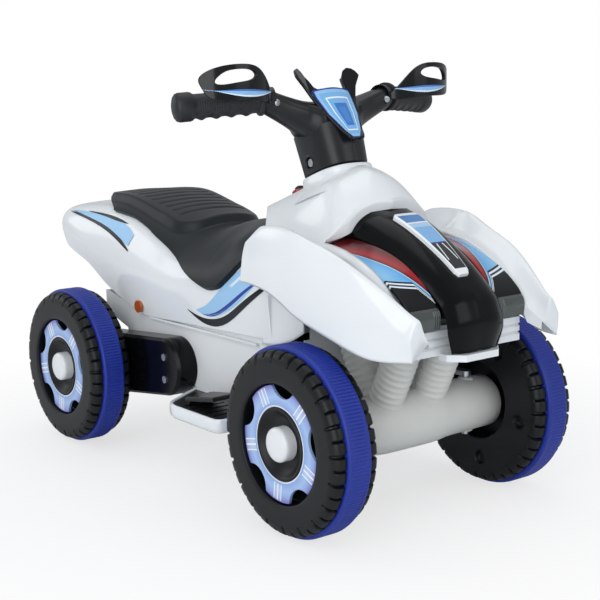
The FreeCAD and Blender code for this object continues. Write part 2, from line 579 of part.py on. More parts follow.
plan_trim = prism(smooth(whole(rear_half)) + [Vector(400, 130, 0), Vector(400, -130, 0)], Vector(0, 0, 500))
spread = size("vee_spread")


def cowl_wedge(shift):
    """The region in front of the cowl's slanted rear edge, moved back by a gap."""
    tip = size("vee_x") - shift
    reach = 160
    return prism([Vector(tip, 0, 0), Vector(tip + spread * reach, -reach, 0), Vector(700, -reach, 0),
                  Vector(700, reach, 0), Vector(tip + spread * reach, reach, 0)], Vector(0, 0, 600))


seat = thin_shell(seat_outer, seat_under).common(side_trim).common(plan_trim).cut(cowl_wedge(size("panel_gap")))
rib_cutters = []
for i in range(int(size("rib_count"))):
    x = size("rib_first_x") + i * size("rib_pitch")
    top_z = row_at(BODY, BODY_COLUMNS, x)[0] + skin + cushion_rise(x)
    half_width, deep = 3.5, size("rib_depth")
    groove = [Vector(x - half_width, 0, top_z + 3), Vector(x, 0, top_z - deep), Vector(x + half_width, 0, top_z + 3)]
    rib_cutters.append(prism([p - Vector(0, size("rib_half_length"), 0) for p in groove], Vector(0, 2 * size("rib_half_length"), 0)))
solid_part("seat", seat.cut(rib_cutters))


def rounded(length, width, corner, level, per_corner=5):
    """A rectangle with round corners at a height, as a ring of points."""
    ring = []
    for quarter, (sx, sy) in enumerate(((1, 1), (-1, 1), (-1, -1), (1, -1))):
        for angle in places(quarter * 90, quarter * 90 + 90, per_corner):
            turn = math.radians(angle)
            ring.append(Vector(sx * (length / 2 - corner) + corner * math.cos(turn),
                               sy * (width / 2 - corner) + corner * math.sin(turn), level))
    return ring


# Front cowl: dome, valleys and both fenders in one moulding, open below, with an opening for the hood.
def cowl_section(x, inward=0.0):
    """A section of the cowl at x, or of its inside, drawn in by the wall."""
    top, fy, fz, vy, vz, cy, cz, ey, ez = row_at(COWL, COWL_COLUMNS, x)
    w = inward
    return smooth(whole([
        Vector(x, -ey + w, ez), Vector(x, -(ey + cy) / 2 - 4 + w, (ez + cz) / 2), Vector(x, -cy - 2 + w, cz - 13 - 0.5 * w),
        Vector(x, -cy + 7 + 0.2 * w, cz - w), Vector(x, -vy, vz - w), Vector(x, -fy + 0.6 * w, fz - 0.8 * w),
        Vector(x, -0.5 * fy, fz + 0.74 * (top - fz) - w), Vector(x, 0, top - w)]))


cowl_places = places(size("sill_x"), size("tip_x"), 19)
cowl_core = facet_solid([cowl_section(x, wall / 2) for x in cowl_places])
cowl = thin_shell([cowl_section(x) for x in cowl_places], [cowl_section(x, wall) for x in cowl_places])
vee_corner = 100
vee_end = size("vee_x") + spread * vee_corner
keep = prism([Vector(size("vee_x"), 0, 0), Vector(vee_end, -vee_corner, 0), Vector(vee_end, -170, 0), Vector(700, -170, 0),
              Vector(700, 170, 0), Vector(vee_end, 170, 0), Vector(vee_end, vee_corner, 0)], Vector(0, 0, 600))
rear_edge = [(100, 200), (145, 268), (159, 311), (165, 338), (199, 362), (199, 420), (100, 420)]
corners = [prism([Vector(x, y, z) for x, z in rear_edge], Vector(0, 80, 0)) for y in (vee_corner, -vee_corner - 80)]
cowl = cowl.common(keep).cut(corners)
nose_plug = cowl_core.common(Part.makeBox(wall, 400, 400, Vector(size("tip_x") - 2 * wall, -200, 0)))
rim, rise = size("collar_rim"), size("collar_rise")
cover_length, cover_width, cover_corner = size("cover_length"), size("cover_width"), size("cover_corner")
collar_outer = facet_solid([rounded(cover_length + 2 * rim, cover_width + 2 * rim, cover_corner + rim, level)
                            for level in (-20, rise)])
collar_inner = facet_solid([rounded(cover_length - 1, cover_width - 1, cover_corner, level)
                            for level in (-60, rise - wall)])
collar_outer.Placement = Placement(steer_point, rake)
collar_inner.Placement = Placement(steer_point, rake)
open_y = size("hood_open_y")
opening = prism([Vector(size("lip_x"), 0, 0), Vector(size("hood_open_x"), -0.66 * open_y, 0),
                 Vector(size("hood_open_x") - 12, -open_y, 0), Vector(700, -open_y, 0), Vector(700, open_y, 0),
                 Vector(size("hood_open_x") - 12, open_y, 0), Vector(size("hood_open_x"), 0.66 * open_y, 0)],
                Vector(0, 0, 600))
shaft_hole = Part.makeCylinder(size("shaft_radius + 0.1"), 120, Vector(0, 0, -60))
shaft_hole.Placement = Placement(steer_point, rake)
dash_slope = math.atan2(size("neck_rear_top") - size("sill_top"), size("neck_rear_x") - size("sill_x"))
dash_turn = Rotation(Vector(0, 1, 0), -math.degrees(dash_slope))
dash_up = dash_turn.multVec(Vector(0, 0, 1))


def dash_point(x, y=0.0):
    """The point of the cowl's outside above a place on the dash."""
    return Vector(x, y, height_at(cowl_section(x), y))


button_point = dash_point(size("button_x"))
button_hole = Part.makeCylinder(size("button_radius + button_gap"), 60, button_point - dash_up * 30, dash_up)
lever_point = dash_point(size("lever_x"), size("lever_y"))
lever_slot = Part.makeBox(size("lever_base * 2"), size("lever_width"), 30, Vector(-size("lever_base"), -size("lever_width / 2"), -15))
lever_slot.Placement = Placement(lever_point, dash_turn)
collar_bush = Part.makeCylinder(size("shaft_radius + 6"), 14 + rise, Vector(0, 0, -14))
collar_bush.Placement = Placement(steer_point, rake)
cowl = cowl.cut(collar_inner).fuse([nose_plug, collar_outer.cut(collar_inner), collar_bush]).cut(opening)
cowl = cowl.cut([shaft_hole, button_hole, lever_slot])
solid_part("front_cowl", cowl)

# Power button: a red push button with a flange under the cowl. Direction lever: a rocker in its slot beside it.
shank = Part.makeCylinder(size("button_radius"), size("button_proud + wall + button_travel + button_gap + 4"),
                          Vector(0, 0, -size("wall + button_travel + button_gap + 4")))
shank = shank.makeChamfer(1.5, [shank.Edges[0]])
flange = Part.makeCylinder(size("button_flange"), 3, Vector(0, 0, -size("wall + button_gap + 2.5") - 3))
solid_part("power_button", shank.fuse(flange).removeSplitter(), Placement(button_point, dash_turn))
rocker = Part.makeCylinder(size("lever_base - 0.5"), size("lever_width - 1"), Vector(0, -size("lever_width / 2 - 0.5"), 0),
                           Vector(0, 1, 0))
stick = Part.makeBox(8, size("lever_width - 1"), size("lever_length"), Vector(-4, -size("lever_width / 2 - 0.5"), 0))
stick = stick.makeChamfer(2, [e for e in stick.Edges if abs(e.CenterOfMass.z - size("lever_length")) < 0.1])
solid_part("direction_lever", rocker.fuse(stick).removeSplitter(), Placement(lever_point - dash_up * 4, dash_turn))


# Hood spine, badge plate and lamp panels: strips carried along a curved path, each section square to it.
def arch_ring(point, normal, half, crown, thickness, lift=0.0, spans=8):
    """A thin arched section, its crown on the path and its edges lower, as a ring of points."""
    rows = []
    for level in (lift, lift - thickness):
        shares = places(-1, 1, spans + 1)
        rows.append([point + normal * (level - crown * share * share) + Vector(0, half * share, 0) for share in shares])
    return rows[0] + list(reversed(rows[1]))


def between_stations(rows, count):
    """Points, normals, half widths and crowns along a path, closer together than its stations."""
    stations = list(rows)
    steps = [float(i) for i in range(len(stations))]
    for t in places(0, len(stations) - 1, count):
        x, z, half, crown, slope = [steady(steps, [size(f"{name}_{c}") for name in stations], t) for c in PATH_COLUMNS]
        slope = math.radians(slope)
        yield t / (len(stations) - 1), Vector(x, 0, z), Vector(math.sin(slope), 0, math.cos(slope)), half, crown


spine_rings = []
plate_rings = []
for share, point, normal, half, crown in between_stations(SPINE, 19):
    spine_rings.append(arch_ring(point, normal, half, crown, size("spine_wall")))
    along = (point.x - size("plate_rear_x")) / (size("plate_front_x") - size("plate_rear_x"))
    if -0.05 < along < 1.05:
        plate_half = size("plate_rear_half") + along * (size("plate_front_half") - size("plate_rear_half"))
        plate_rings.append(arch_ring(point, normal, plate_half, crown * (plate_half / half) ** 2, size("plate_thickness"),
                                     size("plate_thickness") + size("plate_gap"), 4))
solid_part("hood_spine", facet_solid(spine_rings, len(spine_rings[0]) // 2))
solid_part("hood_plate", facet_solid(plate_rings, len(plate_rings[0]) // 2))

for name, side in (("right", -1), ("left", 1)):
    rings = []
    for share, point, normal, inner, crown in between_stations(LAMP, 13):
        near = point + Vector(0, side * inner, 0)
        far = point + Vector(0, side * size("lamp_outer_y"), 0)
        low = normal * size("lamp_wall")
        rings.append([near, far, far - low, near - low])
    solid_part("headlamp_" + name, facet_solid(rings))

# Front bumper: a ribbed strip between the fender tips, with a lip under the nose.
bumper = doc.addObject("PartDesign::Body", "bumper")
back = "bumper_front_x - bumper_depth"
face = [(back, "bumper_low"), ("bumper_front_x", "bumper_low")]
for i in (1, 2):
    level = f"bumper_low + (bumper_top - bumper_low) / 3 * {i}"
    face += [("bumper_front_x", f"{level} - groove_width / 2"), ("bumper_front_x - groove_depth", level),
             ("bumper_front_x", f"{level} + groove_width / 2")]
face += [("bumper_front_x", "bumper_top"), (back, "bumper_top")]
padded(bumper, "XZ_Plane", "strip", face, "2 * bumper_half_width", both_ways=True)
lip = [("bumper_front_x - 2", "0"), ("lip_front_x - lip_corner", "0"), ("lip_front_x", "lip_corner"),
       ("lip_front_x", "2 * lip_half_width - lip_corner"), ("lip_front_x - lip_corner", "2 * lip_half_width"),
       ("bumper_front_x - 2", "2 * lip_half_width")]
lip_body = doc.addObject("PartDesign::Body", "lip_body")
padded(lip_body, "XY_Plane", "lip", lip, "lip_thickness")
place(lip_body, "0", "-lip_half_width", "bumper_low - 6")
sub_part(fused([bumper, lip_body]), "front_bumper")

# Lower chassis: an open tub under the shell, with a rim flange, a tail over the rear axle and a front deck.
tub = doc.addObject("PartDesign::Body", "tub")
away = 300
side_view = [("tub_tail_x", "tub_tail_z"), ("tub_rear_x", "tub_tail_z - 18"), ("tub_rear_x + 16", "tub_floor_z + 30"),
             ("tub_rear_x + 46", "tub_floor_z"), ("tub_front_x - 18", "tub_floor_z"), ("tub_front_x", "tub_floor_z + 20"),
             ("tub_front_x", "bulkhead_edge_z - rim_gap"), ("cushion_x", "cushion_edge_z - rim_gap"),
             ("tub_tail_x", "hip_edge_z - 6")]


def shifted(points):
    """Outline points moved forward so that all are positive; the body is set back by as much."""
    return [(f"{a} + {away}", b) for a, b in points]


padded(tub, "XZ_Plane", "hull", shifted(side_view), "2 * tub_half_width", both_ways=True)
t = "tub_wall"
hollow = [("tub_tail_x + 4", f"tub_tail_z + {t}"), (f"tub_rear_x + {t}", f"tub_tail_z - 18 + {t}"),
          (f"tub_rear_x + 16 + {t}", f"tub_floor_z + 30 + {t} / 2"), (f"tub_rear_x + 46 + {t} / 2", f"tub_floor_z + {t}"),
          (f"tub_front_x - 18 - {t} / 2", f"tub_floor_z + {t}"), (f"tub_front_x - {t}", f"tub_floor_z + 20 + {t} / 2"),
          (f"tub_front_x - {t}", "bulkhead_edge_z + 40"), ("tub_tail_x + 4", "hip_edge_z + 40")]
pocketed(tub, "XZ_Plane", "inside", shifted(hollow), f"2 * (tub_half_width - {t})", both_ways=True)
place(tub, str(-away), "0", "0")
corner_cuts = []
for side in (1, -1):
    triangle = [Vector(size("tub_corner_x"), side * size("tub_half_width"), 0),
                Vector(size("tub_front_x") + 1, side * size("tub_nose_half"), 0),
                Vector(size("tub_front_x") + 1, side * (size("tub_half_width") + 20), 0),
                Vector(size("tub_corner_x"), side * (size("tub_half_width") + 20), 0)]
    cutter = doc.addObject("Part::Feature", "corner")
    cutter.Shape = prism(triangle, Vector(0, 0, 400))
    corner_cuts.append(cutter)
corner_walls = []
for side in (1, -1):
    wall_plan = [Vector(size("tub_corner_x") - 2, side * size("tub_half_width"), 0),
                 Vector(size("tub_front_x"), side * size("tub_nose_half"), 0),
                 Vector(size("tub_front_x"), side * (size("tub_nose_half") - 5), 0),
                 Vector(size("tub_corner_x") - 2, side * (size("tub_half_width") - 5), 0)]
    panel = doc.addObject("Part::Feature", "corner_wall")
    panel.Shape = prism(wall_plan, Vector(0, 0, size("cushion_edge_z + 2") - size("tub_floor_z + 22"))).translated(
        Vector(0, 0, size("tub_floor_z") + 22))
    corner_walls.append(panel)
deck = block("deck_front_x - tub_front_x + tub_wall", "2 * deck_half_width", "deck_thickness", "tub_front_x - tub_wall",
             "-deck_half_width", "deck_z")
riser = block("tub_wall", "2 * deck_half_width", "deck_z + deck_thickness - tub_floor_z - 40", "tub_front_x - tub_wall",
              "-deck_half_width", "tub_floor_z + 40")
flanges = [block("tub_corner_x - cushion_x", "rim_flange", "3", "cushion_x",
                 "tub_half_width - 0.5" if side > 0 else "-tub_half_width - rim_flange + 0.5", "cushion_edge_z - rim_gap - 3")
           for side in (1, -1)]
deck_hole = cylinder("deck_hole_radius", "60", *on_axis("-(steer_z - deck_z) / cos(steer_rake) - 30"), turn=rake)
gear_ratio_y = "gear_module * (small_teeth + output_teeth) / 2"
rear_x = "(front_axle_x - wheelbase)"
idler_x = f"({rear_x} + {gear_ratio_y} * cos(output_angle))"
idler_z = f"(wheel_radius + {gear_ratio_y} * sin(output_angle))"
first_distance = "gear_module * (pinion_teeth + wheel_teeth) / 2"
motor_x = f"({idler_x} + {first_distance} * cos(motor_angle))"
motor_z = f"({idler_z} + {first_distance} * sin(motor_angle))"
shaft_hole_tub = cylinder("motor_shaft + 1", "20", motor_x, "-tub_half_width + 8", motor_z, "-y")
chassis = cut(fused([cut(tub, corner_cuts), deck, riser] + corner_walls + flanges), [deck_hole, shaft_hole_tub])
sub_part(chassis, "lower_chassis")


# Gear pods: long housings either side of the chassis, round at the axle and at the front.
def pod_solid(inset, y_from, y_to, side):
    """A plate with two round ends joined by tangents, between two distances from the middle."""
    a = Vector(size(rear_x), 0, size("wheel_radius"))
    b = Vector(size("pod_front_x"), 0, size("pod_front_z"))
    ra = size("pod_rear_radius") - inset
    rb = size("pod_front_radius") - inset
    line = b - a
    lean = math.atan2(line.z, line.x)
    open_angle = math.acos((ra - rb) / line.Length)

    def at(centre, radius, angle):
        return centre + Vector(radius * math.cos(angle), side * y_from, radius * math.sin(angle))

    upper, lower = lean + open_angle, lean - open_angle
    edges = [Part.makeLine(at(a, ra, upper), at(b, rb, upper)),
             Part.Arc(at(b, rb, upper), at(b, rb, lean), at(b, rb, lower)).toShape(),
             Part.makeLine(at(b, rb, lower), at(a, ra, lower)),
             Part.Arc(at(a, ra, lower), at(a, ra, lean + math.pi), at(a, ra, upper)).toShape()]
    return Part.Face(Part.Wire(edges)).extrude(Vector(0, side * (y_to - y_from), 0))


def through(radius, x, z, side, y_from=60, length=120):
    """A round hole across the bike."""
    return Part.makeCylinder(radius, length, Vector(x, side * y_from, z), Vector(0, side, 0))


def far_edges(shape, y):
    return [e for e in shape.Edges if abs(abs(e.CenterOfMass.y) - y) < 0.01 and e.Length > 20]


inner_y, split_y, outer_y, skin_y = [size(n) for n in ("pod_inner_y", "pod_split_y", "pod_outer_y", "pod_wall")]
axle = (size(rear_x), size("wheel_radius"))
case = pod_solid(0, inner_y, split_y, -1).cut(pod_solid(skin_y, inner_y + skin_y, split_y, -1))
case = case.cut(through(size("axle_radius") + 0.2, *axle, -1)).cut(
    through(size("motor_shaft") + 1, size(motor_x), size(motor_z), -1))
peg = through(size("gear_pin"), size(idler_x), size(idler_z), -1, inner_y + skin_y - 0.5, outer_y - skin_y - inner_y - skin_y - 1)
case = case.fuse(peg)
solid_part("gearbox_case_right", case)
cover = pod_solid(0, split_y, outer_y, -1)
cover = cover.makeChamfer(4, far_edges(cover, outer_y))
cover = cover.cut(pod_solid(skin_y, split_y, outer_y - skin_y, -1))
cover = cover.cut(through(size("output_hub + hub_gap"), *axle, -1))
screw_points = [(size("pod_front_x") + 4, size("pod_front_z") + 15), (size("pod_front_x") + 4, size("pod_front_z") - 17)]
left = pod_solid(0, inner_y, outer_y, 1)
left = left.makeChamfer(4, far_edges(left, outer_y))
left = left.cut(pod_solid(skin_y, inner_y - 1, outer_y - skin_y, 1)).cut(through(size("axle_radius") + 0.2, *axle, 1))
left = left.fuse(through(size("axle_radius") + 6, *axle, 1, inner_y, outer_y - inner_y).cut(
    through(size("axle_radius") + 0.2, *axle, 1)))
screws = [through(size("screw_head"), x, z, side, outer_y, size("screw_rise")) for x, z in screw_points for side in (-1, 1)]
solid_part("gearbox_cover_right", cover)
solid_part("gearbox_case_left", left)
solid_part("body_screws", Part.makeCompound(screws))


# Gears: straight teeth with involute flanks, thinned for backlash, each with its own bore.
def gear(teeth, phase, width, bore, y_start):
    """A spur gear about the local origin, its first tooth turned to a phase, lying across the bike."""
    module = size("gear_module")
    pitch_radius = module * teeth / 2
    base_radius = pitch_radius * math.cos(math.radians(20))
    tip = pitch_radius + 0.8 * module
    root = pitch_radius - 1.15 * module

    def spread_at(radius):
        """Half angle of a tooth at a radius, from the involute of the base circle."""
        roll = math.acos(min(1.0, base_radius / radius))
        roll_pitch = math.radians(20)
        half = math.pi / (2 * teeth) - size("gear_backlash") / (4 * pitch_radius)
        return half + (math.tan(roll_pitch) - roll_pitch) - (math.tan(roll) - roll)

    start = max(base_radius, root + 0.05)
    levels = [start + (tip - start) * i / 2 for i in range(3)]
    flank = [(root, 0.75 * spread_at(start) + 0.25 * math.pi / teeth)] + [(r, spread_at(r)) for r in levels]
    points = []
    for tooth in range(teeth):
        centre = phase + 2 * math.pi * tooth / teeth
        for radius, half in flank:
            points.append((radius, centre - half))
        for radius, half in reversed(flank):
            points.append((radius, centre + half))
    corners = [Vector(r * math.cos(a), -y_start, r * math.sin(a)) for r, a in points]
    solid = prism(corners, Vector(0, -width, 0))
    return solid.cut(Part.makeCylinder(bore, 400, Vector(0, 200, 0), Vector(0, -1, 0)))


def mesh_phase(teeth, from_angle):
    """Phase that puts a gap of this gear on the line of centres."""
    return from_angle + math.pi + math.pi / teeth


gear_width = size("gear_width")
n_out, n_small, n_wheel, n_pinion = [int(size(n)) for n in ("output_teeth", "small_teeth", "wheel_teeth", "pinion_teeth")]
out_angle = math.radians(size("output_angle"))
mot_angle = math.radians(size("motor_angle"))
second_y = size("second_gear_y")
first_y = size("first_gear_y")
output = gear(n_out, out_angle, gear_width, size("axle_radius + running_gap"), second_y)
hub_end = size("wheel_face_y - wheel_width + hub_recess_depth")
hub = Part.makeCylinder(size("output_hub"), hub_end - second_y - gear_width, Vector(0, -second_y - gear_width, 0), Vector(0, -1, 0))
hub = hub.cut(Part.makeCylinder(size("axle_radius + running_gap"), 400, Vector(0, 200, 0), Vector(0, -1, 0)))
solid_part("output_gear", output.fuse(hub), Placement(Vector(axle[0], 0, axle[1]), Rotation()))
small_phase = mesh_phase(n_small, out_angle)
small = gear(n_small, small_phase, gear_width + second_y - first_y - gear_width, size("gear_pin + running_gap"), first_y + gear_width)
big = gear(n_wheel, mot_angle, gear_width, size("gear_pin + running_gap"), first_y)
solid_part("reduction_gear", big.fuse(small), Placement(Vector(size(idler_x), 0, size(idler_z)), Rotation()))
pinion = gear(n_pinion, mesh_phase(n_pinion, mot_angle), gear_width, size("motor_shaft + running_gap"), first_y)
solid_part("motor_pinion", pinion, Placement(Vector(size(motor_x), 0, size(motor_z)), Rotation()))

# Motor against the chassis wall with its shaft into the pod, rear axle, battery on the floor of the tub.
can = cylinder("motor_radius", "motor_length", motor_x, "-tub_half_width + tub_wall", motor_z, "y")
spindle = cylinder("motor_shaft", "tub_wall + first_gear_y + gear_width - tub_half_width", motor_x,
                   "-tub_half_width + tub_wall", motor_z, "-y")
sub_part(fused([can, spindle]), "motor")
sub_part(cylinder("axle_radius", "2 * (wheel_face_y - axle_end_inset)", rear_x, "-wheel_face_y + axle_end_inset",
                  "wheel_radius", "y"), "rear_axle")
sub_part(block("battery_length", "battery_width", "battery_height", "battery_x", "-battery_width / 2",
               "tub_floor_z + tub_wall"), "battery")

# Footrests: moulded trays with a sunk top, a ribbed mat in each, and the accelerator pedal on the right one.
mats = []
for name, side in (("right", -1), ("left", 1)):
    root_y = size("tub_half_width")
    plan = [Vector(size("tray_rear_x"), side * root_y, 0), Vector(size("tray_tip_x") - 8, side * (size("tray_outer_y") - 10), 0),
            Vector(size("tray_tip_x") + 6, side * size("tray_outer_y"), 0),
            Vector(size("tray_front_x"), side * size("tray_outer_y"), 0), Vector(size("tray_front_x"), side * root_y, 0)]
    low = Vector(0, 0, size("tray_low"))
    tray = prism([p + low for p in plan], Vector(0, 0, size("tray_depth")))
    rim = size("tray_rim")

    def drawn_in(distance, level):
        """The tray's outline drawn in by a distance, at a height."""
        wire = Part.makePolygon([p + Vector(0, 0, level) for p in plan + plan[:1]])
        return wire.makeOffset2D(-distance)

    well_z = size("tray_low + tray_depth - tray_well")
    well = Part.Face(drawn_in(rim, well_z)).extrude(Vector(0, 0, 40))
    solid_part("footrest_" + name, tray.cut(well).makeChamfer(
        5, [e for e in tray.cut(well).Edges if abs(e.CenterOfMass.z - size("tray_low")) < 0.1
            and abs(e.CenterOfMass.y) > root_y + 5]))
    mat = Part.Face(drawn_in(rim + size("mat_gap"), well_z)).extrude(Vector(0, 0, size("mat_thickness")))
    grooves = []
    for i in range(int(size("mat_ribs"))):
        x = size("tray_tip_x") + 22 + i * 17
        grooves.append(Part.makeBox(5, 52, 3, Vector(x, side * 138 - 26, well_z + size("mat_thickness") - 1.5)))
    mats.append(mat.cut(Part.makeCompound(grooves)))
solid_part("footrest_mats", Part.makeCompound(mats))
pedal_base = size("tray_low + tray_depth - tray_well + mat_thickness")
pedal_plan = [Vector(0, -0.5, 0), Vector(size("pedal_length"), -4, 0), Vector(size("pedal_length"), -size("pedal_width") + 4, 0),
              Vector(0, -size("pedal_width"), 0)]
pedal = prism(pedal_plan, Vector(0, 0, size("pedal_thickness")))
pedal = pedal.makeChamfer(1.5, [e for e in pedal.Edges if abs(e.CenterOfMass.z - size("pedal_thickness")) < 0.1])
barrel_pin = Part.makeCylinder(size("pedal_lift"), size("pedal_width") - 8, Vector(0, -size("pedal_width") + 4, 0), Vector(0, 1, 0))
solid_part("accelerator_pedal", pedal.fuse(barrel_pin).removeSplitter(),
           Placement(Vector(size("tray_tip_x") + 20, -114, pedal_base + size("pedal_lift") + 0.3),
                     Rotation(Vector(0, 1, 0), -size("pedal_tilt"))))

# Side reflectors: small amber lenses on the shell above the pods.
reflectors = []
for side in (-1, 1):
    section = body_section(size("reflector_x"))
    levels = places(size("reflector_z - reflector_radius"), size("reflector_z + reflector_radius"), 5)
    y = max(side_at(section, z) for z in levels) + 0.3
    reflectors.append(Part.makeCylinder(size("reflector_radius"), size("reflector_proud"),
                                        Vector(size("reflector_x"), side * y, size("reflector_z")), Vector(0, side, 0)))
solid_part("side_reflectors", Part.makeCompound(reflectors))


# Handlebar: a fat moulded bar, thick over the column, with a steel rod out of each arm into its grip.
def oval(x, y, z, depth, height, count=16):
    """An oval section across the bar, as a ring of points."""
    turns = [2 * math.pi * i / count for i in range(count)]
    return [Vector(x + depth * math.cos(a), y, z + height * math.sin(a)) for a in turns]


bar_point = steer_point + up_axis * size("bar_rise") - Vector(size("bar_setback"), 0, 0)
grip_point = Vector(size("grip_x"), size("grip_y"), size("grip_z"))
stops = [(0.0, 0.0, size("bar_depth"), size("bar_height")),
         (0.6 * size("arm_root_y"), 0.06, size("bar_depth") - 3, size("bar_height") - 1),
         (size("arm_root_y"), 0.3, size("arm_root_depth"), size("arm_root_height")),
         ((size("arm_root_y") + size("grip_y")) / 2, 0.65, 17, 17.5),
         (size("grip_y"), 1.0, size("bar_end_radius"), size("bar_end_radius") + 0.2)]
right_to_left = [(-y, s, a, b) for y, s, a, b in reversed(stops[1:])] + stops
ovals = [oval(bar_point.x + s * (grip_point.x - bar_point.x), y, bar_point.z + s * (grip_point.z - bar_point.z), a, b)
         for y, s, a, b in right_to_left]
bar_solid = facet_solid(ovals)


def grip_turn(side):
    """Turns the local X axis along a grip, out to its end."""
    sweep = Rotation(Vector(0, 0, 1), side * (90 + size("grip_sweep")))
    return sweep.multiply(Rotation(Vector(0, 1, 0), size("grip_droop")))


def on_grip(shape, side):
    """A shape drawn along the local X axis, set on the inner end of a grip."""
    shape.Placement = Placement(Vector(grip_point.x, side * grip_point.y, grip_point.z), grip_turn(side))
    return shape


rods, arm_ends, beyond = [], [], []
along_grip = Vector(1, 0, 0)
for side in (1, -1):
    rods.append(on_grip(Part.makeCylinder(size("rod_radius"), size("rod_length") + 12, Vector(-12, 0, 0), along_grip), side))
    arm_ends.append(on_grip(Part.makeCylinder(size("bar_end_radius"), 14.5, Vector(-14, 0, 0), along_grip), side))
    beyond.append(on_grip(Part.makeBox(60, 80, 80, Vector(0.5, -40, -40)), side))
shaft_bore_shape = Part.makeCylinder(size("shaft_radius"), 300, Vector(0, 0, -150))
shaft_bore_shape.Placement = Placement(steer_point, rake)
bar_full = bar_solid.fuse(arm_ends).cut(beyond).fuse(rods).cut(shaft_bore_shape)
solid_part("handlebar", bar_full)

# Column cover: a rounded sleeve over the shaft between the dome and the bar.
sleeve = facet_solid([
    rounded(cover_length, cover_width, cover_corner, rise + size("dome_gap")),
    rounded(size("cover_top_length"), size("cover_top_width"), cover_corner, size("cover_height"))])
bore_shape = Part.makeCylinder(size("shaft_radius") + 0.2, 300, Vector(0, 0, -150))
sleeve = sleeve.cut(bore_shape)
screw_seat = Part.makeCylinder(size("screw_head") + 1.5, 60, Vector(-6, size("cover_width") / 2 - 3, 26), Vector(0, 1, 0))
screw_seat_2 = Part.makeCylinder(size("screw_head") + 1.5, 60, Vector(-6, -size("cover_width") / 2 + 3, 26), Vector(0, -1, 0))
sleeve = sleeve.cut(screw_seat).cut(screw_seat_2)
sleeve.Placement = Placement(steer_point, rake)
solid_part("column_cover", sleeve.cut(bar_full))
column_screws = []
for side in (1, -1):
    head = Part.makeCylinder(size("screw_head"), 2, Vector(-6, side * (size("cover_width") / 2 - 3), 26), Vector(0, side, 0))
    head.Placement = Placement(steer_point, rake)
    column_screws.append(head)
solid_part("handlebar_screws", Part.makeCompound(column_screws))

# Grips: rubbery sleeves with an inner flange, finger bumps below and a bulb at the end.
flange_r, body_r, bulb_r = "grip_flange", "grip_radius", "grip_bulb"
hole_r = "rod_radius + grip_clearance"
for name, side in (("right", -1), ("left", 1)):
    sleeve_body = turned("grip_" + name, [
        ("1", hole_r), ("1", flange_r), ("6", flange_r), ("8", body_r), ("grip_length - 26", body_r),
        ("grip_length - 22", bulb_r), ("grip_length - 7", bulb_r), ("grip_length - 2", "grip_bulb - 5"),
        ("grip_length", "grip_bulb - 11"), ("grip_length", "0"), ("rod_length + 0.2", "0"), ("rod_length + 0.2", hole_r)])
    place(sleeve_body, "grip_x", f"{side} * grip_y", "grip_z", grip_turn(side))
    sub_part(sleeve_body, "grip_" + name)

# Hand guards: curved shields over the knuckles with a window, each on a boss at the inner end of its grip.
for name, side in (("right", -1), ("left", 1)):
    inner_edge, outer_edge = size("guard_inner_y"), size("guard_outer_y")
    low_z, top_z = size("guard_low_z"), size("guard_top_z")
    span = outer_edge - inner_edge

    def at(share, level):
        return Vector(size("guard_x - guard_arc"), side * (inner_edge + share * span), low_z + level * (top_z - low_z))

    rim_points = [at(0.0, -0.12), at(0.3, -0.06), at(0.6, -0.03), at(0.9, 0.05), at(1.0, 0.4), at(0.94, 0.8), at(0.76, 1.0),
                  at(0.5, 0.97), at(0.34, 0.66), at(0.2, 0.3), at(0.02, 0.17)]
    window_points = [at(0.5, 0.42), at(0.7, 0.36), at(0.88, 0.4), at(0.91, 0.62), at(0.81, 0.82), at(0.61, 0.81), at(0.52, 0.66)]
    loops = []
    for points in (rim_points, window_points):
        ring = smooth(points + points[:1])[:-1]
        loops.append(prism(ring, Vector(400, 0, 0)))
    sheet_arc = size("guard_arc")
    middle = Vector(size("guard_x") - sheet_arc, side * size("guard_middle_y"), low_z - 60)
    shell_round = Part.makeCylinder(sheet_arc, 180, middle).cut(Part.makeCylinder(sheet_arc - size("guard_wall"), 180, middle))
    guard = loops[0].cut(loops[1]).common(shell_round)
    boss_at = Vector(size("grip_x"), side * (inner_edge + 2), size("grip_z") - 1)
    post = Part.makeCylinder(size("guard_boss"), size("bar_end_radius") + 1, boss_at, Vector(1, 0, 0.05))
    flange_room = on_grip(Part.makeCylinder(size("grip_flange") + 0.6, 8, Vector(-1, 0, 0), along_grip), side)
    guard = guard.fuse(post).removeSplitter().cut([bar_full, flange_room])
    solid_part("hand_guard_" + name, guard)

# Visor: a curved shield in front of the column with two upright ears.
half, ear, ear_y, ear_half = [size(n) for n in ("visor_half", "visor_ear", "visor_ear_y", "visor_ear_half")]
foot, height = size("visor_foot_half"), size("visor_height")
right_half = [Vector(-foot, 0, 0), Vector(-half - 3, 0.72 * height, 0), Vector(-ear_y - ear_half + 2, ear - 16, 0),
              Vector(-ear_y, ear, 0), Vector(-ear_y + ear_half, ear - 14, 0), Vector(-half + 6, height + 4, 0),
              Vector(-0.4 * half, height, 0)]
shield_points = right_half + [Vector(-p.x, p.y, 0) for p in reversed(right_half)]
ring = shield_points[:1] + smooth(shield_points[1:5]) + smooth(shield_points[4:10])[1:] + smooth(shield_points[9:13])[1:]
ring += shield_points[13:]
shield = prism(ring, Vector(0, 0, 120)).translated(Vector(0, 0, -60))
arc = size("visor_curve")
bend = Part.makeCylinder(arc, 300, Vector(0, -50, -arc), Vector(0, 1, 0)).cut(
    Part.makeCylinder(arc - size("visor_wall"), 300, Vector(0, -50, -arc), Vector(0, 1, 0)))
shield = shield.common(bend)
stem = Part.makeBox(16, 14, 40, Vector(-8, 12, -40))
shield = shield.fuse(stem).removeSplitter()
slope = size("visor_slope")
face_turn = Rotation(Vector(0, 1, 0), 90 - slope).multiply(Rotation(Vector(0, 0, 1), 90))
